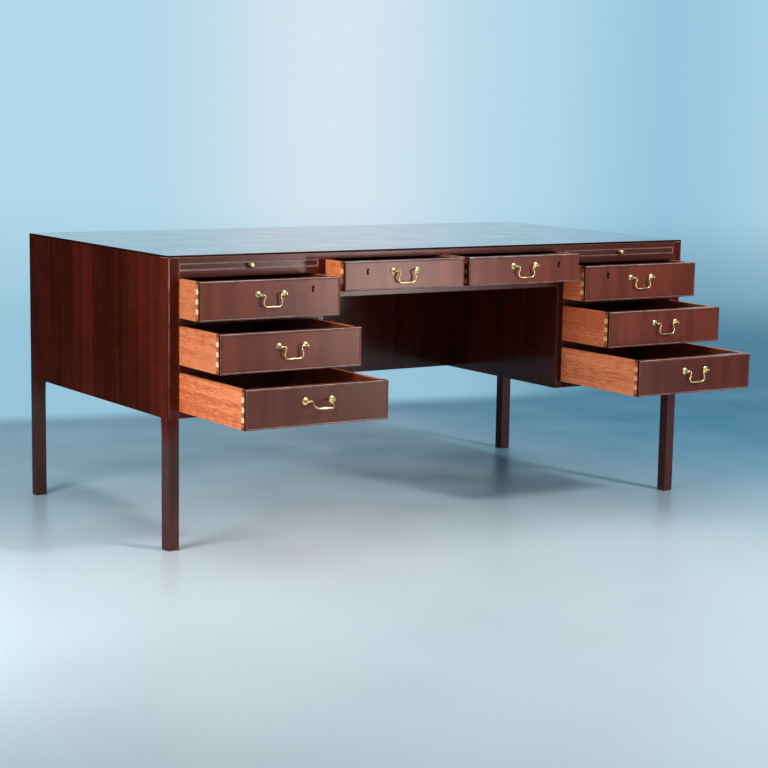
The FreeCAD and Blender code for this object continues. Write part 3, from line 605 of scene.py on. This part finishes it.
class DESK_OT_finish_top(bpy.types.Operator):
    """Finish the desk top"""
    bl_idname = "desk.finish_top"
    bl_label = "Finish Top"

    def execute(self, context):
        tones = context.scene.desk_wood
        veneer = wood("top_veneer", tones.top_dark, tones.top_light, grain="X", ribbon=0.4, streak=0.5,
                      coat=0.85, gloss=0.07, roughness=(0.16, 0.26), tint=(0.7, 0.85, 1.0), film=0.03)
        rim = wood("top_rim", dimmed(tones.top_dark, 0.4), dimmed(tones.top_light, 0.4), grain="X", streak=0.5,
                   coat=0.05, shine=0.0, roughness=(0.5, 0.6), worn_and_highlit=dimmed(tones.top_light, 0.5))
        _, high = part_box("desk_top")
        mesh = joined_copy("desk_top")
        shift_boards(mesh, 1.0)
        soften(mesh, TOP_SOFTNESS)
        for face in mesh.faces:
            if face.calc_center_median().z > high.z - RIM_DEPTH and face.normal.z < MOSTLY:
                face.material_index = TOP_RIM
        finished(mesh, "desk_top_finished", "case", ["desk_top"], [veneer, rim])
        return {"FINISHED"}


def highlight_post(mesh, foot_height, front):
    """Paints a pale highlight on a front leg's front corners above its foot, none on its other rounded corners,
    and gives its front a finish of its own
    """
    wear_and_highlight = face_layer(mesh, WEAR_AND_HIGHLIGHT)
    for face in mesh.faces:
        above = face.calc_center_median().z - foot_height
        rubbed = front and above > 0.0
        sideways, frontways, upwards = (abs(part) for part in face.normal)
        if upwards < CORNER_UP and min(sideways, frontways) > CORNER_OUT:
            worn_and_highlit = rubbed and frontways > CORNER_FRONT
            face[wear_and_highlight] = POST_HIGHLIGHT + POST_HIGHLIGHT_RISE * above if worn_and_highlit else 0.0
        if rubbed and face.normal.y < -MOSTLY:
            face.material_index = POST_FRONT


class DESK_OT_finish_frame(bpy.types.Operator):
    """Finish the legs, rails and divider"""
    bl_idname = "desk.finish_frame"
    bl_label = "Finish Frame"

    def execute(self, context):
        tones = context.scene.desk_wood
        # The feet of the legs and uprights take on the painted sheen
        looks = dict(grain="Z", ribbon=0.35, streak=0.4, shine=0.0,
                     fade=(tones.leg_painted_sheen, tones.leg_foot_height))
        # Pale colour of the front legs' corners: painted highlight
        rubbed = (0.66, 0.38, 0.31)
        upright = wood("frame_upright", tones.frame_dark, tones.frame_light, coat=0.2, worn_and_highlit=rubbed, **looks)
        post_front = wood("post_front", tones.frame_dark, tones.frame_light, coat=0.32, gloss=0.22,
                          worn_and_highlit=rubbed, **looks)
        rear = wood("rear_upright", tones.panel_dark, tones.panel_light, coat=0.2, **looks)
        level = wood("frame_level", tones.frame_dark, tones.frame_light, grain="X", ribbon=0.3, streak=0.5,
                     coat=0.6, gloss=0.22, shine=0.05)
        for node in ("front_left_leg", "front_right_leg", "rear_left_leg", "rear_right_leg"):
            mesh = joined_copy(node)
            shift_boards(mesh, seed_of(node))
            for step in range(POST_HIGHLIGHT_STEPS):
                height = tones.leg_foot_height + POST_HIGHLIGHT_STEP * step
                cut(mesh, (0.0, 0.0, height), (0.0, 0.0, 1.0))
            soften(mesh, tones.leg_softness)
            front = "front" in node
            highlight_post(mesh, tones.leg_foot_height, front)
            finished(mesh, node + "_finished", "case", [node],
                     [upright, post_front] if front else [rear])
        board("centre_divider", "case", upright)
        for node in ("top_rails", "drawer_rails", "centre_rail"):
            board(node, "case", level)
        return {"FINISHED"}


class DESK_OT_finish_panels(bpy.types.Operator):
    """Finish the side, pedestal and kneehole panels, the bottoms and the shelves"""
    bl_idname = "desk.finish_panels"
    bl_label = "Finish Panels"

    def execute(self, context):
        tones = context.scene.desk_wood
        upright = wood("panel_upright", tones.panel_dark, tones.panel_light, grain="Z", ribbon=0.24,
                       streak=0.3, coat=0.06, shine=0.0, wave=12.0 * MM, bands=44.0, cloud=0.6)
        level = wood("panel_level", tones.panel_dark, tones.panel_light, grain="X", ribbon=0.5, streak=0.4,
                     coat=0.2, shine=0.0)
        inner = wood("panel_inner", dimmed(tones.panel_dark, 0.9), dimmed(tones.panel_light, 0.8), grain="Z",
                     ribbon=0.25, streak=0.3, coat=0.5, gloss=0.16, shine=0.0, wave=12.0 * MM, cloud=0.6)
        for node in ("left_side_panel", "right_side_panel"):
            board(node, "case", upright)
        for node in ("left_pedestal_panel", "right_pedestal_panel", "kneehole_panel", "drawer_partitions"):
            board(node, "case", inner)
        for node in ("bottom_boards", "bookcase_shelves"):
            board(node, "case", level)
        return {"FINISHED"}


def line_bead(mesh, low, high, tones):
    """Cuts a line of painted shade inside the bead round a front, and paints a pale highlight, with wear, on
    the bead
    """
    def in_field(face):
        depth = face.calc_center_median().y - low.y
        return face.normal.y < -SQUARELY and abs(depth - tones.bead_proud) < FIELD_TOLERANCE

    inside = tones.bead + tones.quirk
    for corner, along_x, along_z in ((low, 1.0, 0.0), (high, -1.0, 0.0), (low, 0.0, 1.0), (high, 0.0, -1.0)):
        field = [face for face in mesh.faces if in_field(face)]
        edges = dict.fromkeys(edge for face in field for edge in face.edges)
        verts = dict.fromkeys(vert for face in field for vert in face.verts)
        line = corner + Vector((along_x, 0.0, along_z)) * inside
        cut(mesh, line, (along_x, 0.0, along_z), field + list(edges) + list(verts))
    shading = face_layer(mesh, SHADE_AND_DARKENING)
    wear_and_highlight = face_layer(mesh, WEAR_AND_HIGHLIGHT)
    for face in mesh.faces:
        middle = face.calc_center_median()
        from_end = min(middle.x - low.x, high.x - middle.x)
        from_border = min(from_end, middle.z - low.z, high.z - middle.z)
        # Painted shade in the quirk inside the bead
        if in_field(face) and from_border < inside:
            face[shading] = QUIRK_SHADE
        # Painted highlight, with wear, on the bead: fullest on its top
        elif middle.y < low.y + tones.bead_proud - FIELD_TOLERANCE:
            if from_end < tones.bead:
                face[wear_and_highlight] = BEAD_END_HIGHLIGHT
            else:
                face[wear_and_highlight] = BEAD_TOP_HIGHLIGHT if high.z - middle.z < tones.bead else BEAD_BOTTOM_HIGHLIGHT


def mark_holes(mesh, low, high):
    """Gives the walls of a front's holes a near-black finish, which is painted shade"""
    for face in mesh.faces:
        middle = face.calc_center_median()
        if (low.y + HOLE_FROM_FACE < middle.y < high.y - HOLE_FROM_BACK and abs(face.normal.y) < 0.5
                and low.x + HOLE_FROM_END < middle.x < high.x - HOLE_FROM_END
                and low.z + HOLE_FROM_FOOT < middle.z < high.z - HOLE_FROM_HEAD):
            face.material_index = SHADED_HOLE_WALLS


def widen_keyhole(mesh):
    """Files the keyhole, the tallest of the holes, a little wider"""
    for hole in joined_faces(face for face in mesh.faces if face.material_index == SHADED_HOLE_WALLS):
        verts = list(dict.fromkeys(vert for face in hole for vert in face.verts))
        heights = [vert.co.z for vert in verts]
        if max(heights) - min(heights) > KEYHOLE_HEIGHT:
            middle = sum(vert.co.x for vert in verts) / len(verts)
            bmesh.ops.scale(mesh, vec=(KEYHOLE_WIDENING, 1.0, 1.0), verts=verts,
                            space=Matrix.Translation((-middle, 0.0, 0.0)))


def mark_ends(mesh, low, high, lap):
    """Divides the ends of a front at the lap, and gives each part its finish"""
    cut(mesh, (0.0, lap, 0.0), (0.0, 1.0, 0.0))
    for face in mesh.faces:
        middle = face.calc_center_median()
        at_end = min(abs(middle.x - low.x), abs(middle.x - high.x)) < END_MARGIN
        if not at_end or abs(face.normal.x) <= ROUGHLY:
            continue
        heights = [vert.co.z for vert in face.verts]
        whole = low.z + END_MARGIN < min(heights) and max(heights) < high.z - END_MARGIN
        if middle.y > lap:
            face.material_index = PIN_ENDS if whole else HALF_PINS
        else:
            face.material_index = LAP_ENDS


def highlight_front(mesh, low, high, tones):
    """Gives the rims of the holes the painted shade of their walls, and keeps the full painted highlight only
    on the top corner, lowering the wear and highlight of the others
    """
    wear_and_highlight = face_layer(mesh, WEAR_AND_HIGHLIGHT)
    for face in mesh.faces:
        middle = face.calc_center_median()
        from_border = min(middle.x - low.x, high.x - middle.x, middle.z - low.z, high.z - middle.z)
        in_field = from_border > tones.bead + tones.quirk and middle.y < low.y + HOLE_RIM_DEPTH
        if face[wear_and_highlight] and in_field:
            face[wear_and_highlight] = 0.0
            face.material_index = SHADED_HOLE_WALLS
        elif face[wear_and_highlight] == 1.0 and high.z - middle.z > TOP_ARRIS:
            face[wear_and_highlight] = CORNER_HIGHLIGHT_AND_WEAR


class DESK_OT_finish_fronts(bpy.types.Operator):
    """Finish the drawer fronts with their beads and the pins of their dovetails"""
    bl_idname = "desk.finish_fronts"
    bl_label = "Finish Drawer Fronts"

    def execute(self, context):
        tones = context.scene.desk_wood
        end_grain = dict(grain="Y", ribbon=0.3, streak=0.3, pore=0.3, coat=0.1)
        looks = dict(gloss=0.3, roughness=(0.5, 0.6), **end_grain)
        # The pale worn colour of the fronts is the painted highlight on their beads and top corners, with wear
        veneer = wood("front_veneer", tones.front_dark, tones.front_light, grain="X", ribbon_axis="Z",
                      ribbon=0.32, streak=0.1, pore=0.2, coat=0.55, gloss=0.22, shine=0.05,
                      worn_and_highlit=(0.72, 0.50, 0.44), bands=24.0, fleck=0.2)
        pins = wood("pin_end_grain", tones.pin_colour, tones.pin_colour, **looks)
        # Painted shade: darker pins for the right drawers
        shaded_pins = wood("pin_end_grain_deep", tones.shaded_pin_colour, tones.shaded_pin_colour, **looks)
        laps = wood("lap_end", dimmed(tones.panel_dark, 0.5), dimmed(tones.panel_light, 0.6), grain="Z",
                    ribbon=0.3, streak=0.3, pore=0.3, coat=0.2, shine=0.0)
        # The half pins take the darker colours of the drawers' insides
        half_pins = wood("half_pin", tones.inside_dark, tones.inside_light, shine=0.0, **end_grain)
        # Near-black walls of keyholes and post holes: painted shade
        holes = wood("keyhole_dark", dimmed(tones.panel_dark, 0.1), dimmed(tones.panel_dark, 0.3), grain="Y",
                     coat=0.0, shine=0.0)
        for name in DRAWERS:
            node = f"{name}_drawer_front"
            low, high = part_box(node)
            mesh = joined_copy(node)
            shift_boards(mesh, seed_of(node))
            line_bead(mesh, low, high, tones)
            mark_holes(mesh, low, high)
            widen_keyhole(mesh)
            mark_ends(mesh, low, high, low.y + tones.lap)
            # Painted shade: the bottom drawers' fronts are darker
            if "bottom" in name:
                foot = low.z + BOTTOM_FRONT_MARGIN
                darken(mesh, lambda middle, normal: normal.y < -SQUARELY and middle.z > foot,
                       BOTTOM_FRONT_SHADE)
            soften(mesh, FRONT_SOFTNESS)
            highlight_front(mesh, low, high, tones)
            ends = shaded_pins if name.startswith("right") else pins
            # Painted shade: the centre right drawer's pins take the dark lap colour
            ends = laps if name == "centre_right" else ends
            finished(mesh, node + "_finished", f"{name}_drawer", [node],
                     [veneer, ends, laps, half_pins, holes])
        return {"FINISHED"}


def line_drawer(mesh, centre):
    """Gives the faces that look into a drawer the darker finish of its inside, which is painted shade"""
    for face in mesh.faces:
        middle, normal = face.calc_center_median(), face.normal
        if (normal.x * (middle.x - centre.x) < INWARD or (normal.z > ROUGHLY and middle.z < centre.z)
                or (normal.y < -ROUGHLY and middle.y > centre.y)):
            face.material_index = SHADED_INSIDE


class DESK_OT_finish_drawers(bpy.types.Operator):
    """Finish the drawer sides, backs and bottoms, the runners and the stops"""
    bl_idname = "desk.finish_drawers"
    bl_label = "Finish Drawers"

    def execute(self, context):
        tones = context.scene.desk_wood
        looks = dict(grain="Y", ribbon=0.3, streak=0.4, pore=0.35, coat=0.2, gloss=0.35, cloud=0.6, fleck=2.2,
                     roughness=(0.42, 0.56), worn_and_highlit=(0.62, 0.28, 0.15), wave=10.0 * MM,
                     grit_spacing=(32.0, 210.0))
        sides = wood("drawer_sides", tones.drawer_dark, tones.drawer_light, **looks)
        # A darker copy of the sides for the drawers' insides: painted shade
        inside = wood("drawer_inside", tones.inside_dark, tones.inside_light, **looks)
        for name in DRAWERS:
            node = f"{name}_drawer_box"
            low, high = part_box(node)
            mesh = joined_copy(node)
            shift_boards(mesh, seed_of(node))
            line_drawer(mesh, (low + high) / 2)
            front_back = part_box(f"{name}_drawer_front")[1].y
            cut(mesh, (0.0, front_back, 0.0), (0.0, 1.0, 0.0))
            # The dovetail tails in front of the front's back are darker
            darken(mesh, lambda middle, normal: middle.y < front_back, TAIL_DARKENING)
            # Painted shade on the sides of each drawer
            darken(mesh, lambda middle, normal: abs(normal.x) > ROUGHLY and middle.y > front_back,
                   SIDE_SHADE.get(name, 0.0))
            soften(mesh, DRAWER_SOFTNESS)
            finished(mesh, node + "_finished", f"{name}_drawer", [node], [sides, inside])
        for node in ("drawer_runners", "drawer_stops"):
            repaint(node, sides)
        return {"FINISHED"}


class DESK_OT_finish_slides(bpy.types.Operator):
    """Finish the two writing slides"""
    bl_idname = "desk.finish_slides"
    bl_label = "Finish Writing Slides"

    def execute(self, context):
        tones = context.scene.desk_wood
        # Its pale worn colour is the painted highlight on the bead
        level = wood("slide_veneer", tones.front_dark, tones.front_light, grain="X", ribbon=0.3, streak=0.3,
                     coat=0.75, gloss=0.22, shine=0.05, worn_and_highlit=(0.40, 0.25, 0.22))
        for side in ("left", "right"):
            node = f"{side}_writing_slide"
            low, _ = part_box(node)
            mesh = joined_copy(node)
            shift_boards(mesh, seed_of(node))
            soften(mesh, SLIDE_SOFTNESS)
            bead_back, field_back = low.y + SLIDE_BEAD_DEPTH, low.y + SLIDE_FIELD_DEPTH
            wear_and_highlight = face_layer(mesh, WEAR_AND_HIGHLIGHT)
            # Painted highlight on the slide's bead
            for face in mesh.faces:
                if face.calc_center_median().y < bead_back:
                    face[wear_and_highlight] = SLIDE_BEAD_HIGHLIGHT
            # Painted shade in the field behind the bead
            darken(mesh, lambda middle, normal: normal.y < -ROUGHLY and bead_back < middle.y < field_back,
                   SLIDE_FIELD_SHADE)
            finished(mesh, node + "_finished", f"{side}_slide", [node], [level])
        return {"FINISHED"}


class DESK_OT_finish_brass(bpy.types.Operator):
    """Polish the handles, knobs, lock cases and shelf pins, and brush the lock bolts"""
    bl_idname = "desk.finish_brass"
    bl_label = "Polish Brass"

    def execute(self, context):
        tones = context.scene.desk_brass
        polished = brass("polished_brass", tones.polished, tones.tarnished)
        brushed = brass("brushed_brass", tones.brushed, tones.tarnished, roughness=(0.32, 0.48))
        nodes = ["left_slide_knob", "right_slide_knob", "shelf_pins"]
        for name in DRAWERS:
            nodes.append(f"{name}_bail")
            nodes.append(f"{name}_posts_and_lock" if name in LOCKED_DRAWERS else f"{name}_handle_posts")
        for node in nodes:
            mesh = joined_copy(node, flat=False)
            finished(mesh, node + "_finished", body_of(node), [node], [polished])
        for name in LOCKED_DRAWERS:
            repaint(f"{name}_lock_bolt", brushed)
        return {"FINISHED"}


def floor_paint(graph, look, place, across, deep):
    """Satin floor paint, pale in front of the desk with a brighter painted pool of light, and darker and bluer
    under and behind it, which is painted shade
    """
    bluer = graph.slope(across, deep, BLUER_SLOPE)
    cloud = graph.curve(graph.noise(place, *FLOOR_CLOUDS), *FLOOR_CLOUD_SPAN)
    front, near, clouded = (rgba(look.floor_colour, tone) for tone in FLOOR_TONES)
    # Painted light: brighter floor in front of the desk
    colour = graph.mix(graph.curve(bluer, *FRONT_SPAN), front, near)
    colour = graph.mix(cloud, colour, clouded)
    # Painted shade: darker, bluer floor under and behind the desk
    colour = graph.mix(graph.curve(bluer, *BLUER_SPAN), colour, rgba(look.middle_colour))
    # Painted shade: deep blue floor further behind the desk
    far = graph.curve(graph.slope(across, deep, FAR_SLOPE), *FAR_SPAN)
    colour = graph.mix(far, colour, rgba(look.far_colour))
    rough = graph.curve(graph.noise(place, *FLOOR_POLISH), *FLOOR_POLISH_SPAN)
    return graph.node("ShaderNodeBsdfPrincipled", Base_Color=colour, Roughness=rough).outputs["BSDF"]


def backdrop_glow(graph, look, across, deep, height):
    """Pale backdrop in broad upright bands, with a painted pool of light behind the desk and painted shade at
    its foot
    """
    eastward = graph.math("ADD", across, -BAND_CENTRE[0])
    northward = graph.math("ADD", deep, -BAND_CENTRE[1])
    turn = graph.math("ARCTAN2", eastward, northward)
    turn = graph.math("ADD", graph.math("MULTIPLY", turn, 0.5 / math.pi), 0.5)
    wall, other, low = look.wall_colour, look.wall_round_colour, look.wall_low_colour
    glow, far, shade = look.wall_glow_colour, look.wall_far_colour, look.wall_shade_colour
    dim = dimmed(other, DIM_WALL)
    # Colours of the upper wall and of its foot, by their share of a turn from the south
    upper = graph.ramp(turn, (
        (0.0, other), (0.40, other), (0.46, dim), (0.505, dim), (0.555, wall), (0.572, wall),
        (0.588, glow), (0.602, wall), (0.614, far), (0.627, wall), (0.66, other), (0.735, other),
        (0.76, dim), (0.785, dim), (0.805, other), (1.0, other)))
    foot = graph.ramp(turn, (
        (0.0, other), (0.40, other), (0.46, dim), (0.505, dim), (0.555, low), (0.596, low),
        (0.612, shade), (0.622, shade), (0.66, other), (1.0, other)))
    away = graph.math("SQRT", graph.math("ADD", graph.math("MULTIPLY", eastward, eastward),
                                         graph.math("MULTIPLY", northward, northward)))
    # Painted shade: the backdrop is darker at its foot and lighter further up and away
    lifted = graph.math("ADD", graph.curve(away, *FOOT_SPAN), graph.curve(height, *FOOT_HEIGHT_SPAN))
    return graph.node("ShaderNodeEmission", Color=graph.mix(lifted, foot, upper)).outputs["Emission"]


def studio_paint(look):
    """Floor paint that turns into the backdrop, which only shows and mirrors, and lights nothing"""
    graph = Graph("studio_paint")
    place = graph.place()
    across, deep, height = graph.parts(place)
    behind = graph.curve(graph.slope(across, deep, BACKDROP_SLOPE), *BACKDROP_SPAN)
    path = graph.node("ShaderNodeLightPath").outputs
    seen = graph.math("MAXIMUM", path["Is Camera Ray"],
                      graph.math("MAXIMUM", path["Is Glossy Ray"], path["Is Transmission Ray"]))
    share = graph.math("MULTIPLY", seen, graph.math("MAXIMUM", behind, graph.curve(height, *WALL_START)))
    blend = graph.ordered("ShaderNodeMixShader", None, (
        share, floor_paint(graph, look, place, across, deep), backdrop_glow(graph, look, across, deep, height)))
    return graph.surface(blend.outputs["Shader"])


def build_room(look):
    """A round floor that curves up into the backdrop"""
    mesh = bmesh.new()
    bmesh.ops.create_circle(mesh, cap_ends=True, cap_tris=False, segments=96, radius=look.room_radius)
    rim = [edge for edge in mesh.edges if edge.is_boundary]
    wall = bmesh.ops.extrude_edge_only(mesh, edges=rim)
    raised = [item for item in wall["geom"] if isinstance(item, bmesh.types.BMVert)]
    bmesh.ops.translate(mesh, verts=raised, vec=(0.0, 0.0, look.room_height))
    foot = [edge for edge in mesh.edges if not edge.is_boundary and edge.is_manifold
            and all(abs(vert.co.z) < TOUCHING for vert in edge.verts)]
    bmesh.ops.bevel(mesh, geom=foot, offset=COVE_WIDTH, offset_type="OFFSET", segments=10,
                    profile=0.5, affect="EDGES", material=-1, clamp_overlap=True)
    bmesh.ops.recalc_face_normals(mesh, faces=mesh.faces)
    room = smooth_object(mesh, "studio_floor", [studio_paint(look)])


def area_lamp(name, place, aim, size, power, colour=(1.0, 1.0, 1.0), spread=math.pi):
    """A rectangular lamp that the camera doesn't see"""
    lamp = bpy.data.lights.new(name, "AREA")
    lamp.spread = spread
    lamp.shape = "RECTANGLE"
    lamp.size, lamp.size_y = size
    lamp.energy = power
    lamp.color = colour
    holder = added(name, lamp)
    holder.location = place
    holder.visible_camera = False
    holder.rotation_euler = (Vector(aim) - Vector(place)).to_track_quat("-Z", "Y").to_euler()
    return holder


def place_lamps(look):
    """Lights the desk from the left, the front and above, and its fronts from low down"""
    key = area_lamp("key_softbox", place=(-2.6, -0.8, 1.15), aim=(-0.5, -0.2, 0.45), size=(1.0, 1.5),
                    power=look.key_power, spread=math.radians(110.0))
    key.visible_glossy = False
    area_lamp("front_lamp", place=(1.6, -4.0, 2.8), aim=(0.0, -0.2, 0.5), size=(0.45, 0.45),
              power=look.front_power)
    area_lamp("sheen_softbox", place=(2.2, -4.1, 0.34), aim=(-0.1, -0.3, 0.6), size=(0.5, 0.6),
              power=look.sheen_power, colour=(1.0, 0.84, 0.77))
    area_lamp("ceiling_lamp", place=(-0.5, -1.4, 4.6), aim=(-0.4, -1.2, 0.0), size=(5.0, 5.0),
              power=look.ceiling_power)


def light_air():
    """Fills the room with faint light from all sides"""
    world = bpy.data.worlds.new("studio_air")
    world.use_nodes = True
    air = world.node_tree.nodes["Background"].inputs
    air["Color"].default_value = (0.25, 0.75, 1.0, 1.0)
    air["Strength"].default_value = 0.18
    bpy.context.scene.world = world


def place_camera(look):
    """Stands the camera where the desk was photographed from"""
    yaw, pitch, roll = (math.radians(angle) for angle in (34.2329, 9.2281, 1.1005))
    forward = Vector((math.sin(yaw) * math.cos(pitch), math.cos(yaw) * math.cos(pitch), -math.sin(pitch)))
    level = Vector((math.cos(yaw), -math.sin(yaw), 0.0))
    upward = level.cross(forward)
    right = math.cos(roll) * level + math.sin(roll) * upward
    top = -math.sin(roll) * level + math.cos(roll) * upward
    camera = bpy.data.cameras.new("camera")
    camera.lens = look.lens
    camera.sensor_width = 36.0
    camera.shift_x = -0.05
    camera.shift_y = 0.05
    camera.clip_end = 100.0
    holder = added("camera", camera)
    turn = Matrix((right, top, -forward)).transposed().to_4x4()
    holder.matrix_world = Matrix.Translation(CAMERA_PLACE) @ turn
    bpy.context.scene.camera = holder


class DESK_OT_set_stage(bpy.types.Operator):
    """Set the floor, backdrop, lamps and camera"""
    bl_idname = "desk.set_stage"
    bl_label = "Set Stage"

    def execute(self, context):
        look = context.scene.desk_stage
        build_room(look)
        place_lamps(look)
        light_air()
        place_camera(look)
        context.scene.view_settings.view_transform = "Standard"
        return {"FINISHED"}


class DESK_PT_pieces(bpy.types.Panel):
    """Lists the desk's pieces and the stage, with their sizes and colours"""
    bl_label = "Writing Desk"
    bl_idname = "DESK_PT_pieces"
    bl_space_type = "VIEW_3D"
    bl_region_type = "UI"
    bl_category = "Desk"

    def draw(self, context):
        column = self.layout.column()
        for operator in OPERATORS:
            column.operator(operator.bl_idname)
        for group in ("desk_wood", "desk_brass", "desk_stage"):
            settings = getattr(context.scene, group)
            for name in settings.__annotations__:
                column.prop(settings, name)


SETTINGS = (DeskWoodSettings, DeskBrassSettings, DeskStageSettings)
OPERATORS = (DESK_OT_finish_top, DESK_OT_finish_frame, DESK_OT_finish_panels, DESK_OT_finish_fronts,
             DESK_OT_finish_drawers, DESK_OT_finish_slides, DESK_OT_finish_brass, DESK_OT_set_stage)
CLASSES = SETTINGS + OPERATORS + (DESK_PT_pieces,)


def register():
    for item in CLASSES:
        bpy.utils.register_class(item)
    bpy.types.Scene.desk_wood = PointerProperty(type=DeskWoodSettings)
    bpy.types.Scene.desk_brass = PointerProperty(type=DeskBrassSettings)
    bpy.types.Scene.desk_stage = PointerProperty(type=DeskStageSettings)


def unregister():
    del bpy.types.Scene.desk_stage
    del bpy.types.Scene.desk_brass
    del bpy.types.Scene.desk_wood
    for item in reversed(CLASSES):
        bpy.utils.unregister_class(item)


def main():
    register()
    bpy.ops.desk.finish_top()
    bpy.ops.desk.finish_frame()
    bpy.ops.desk.finish_panels()
    bpy.ops.desk.finish_fronts()
    bpy.ops.desk.finish_drawers()
    bpy.ops.desk.finish_slides()
    bpy.ops.desk.finish_brass()
    bpy.ops.desk.set_stage()


if __name__ == "__main__":
    main()
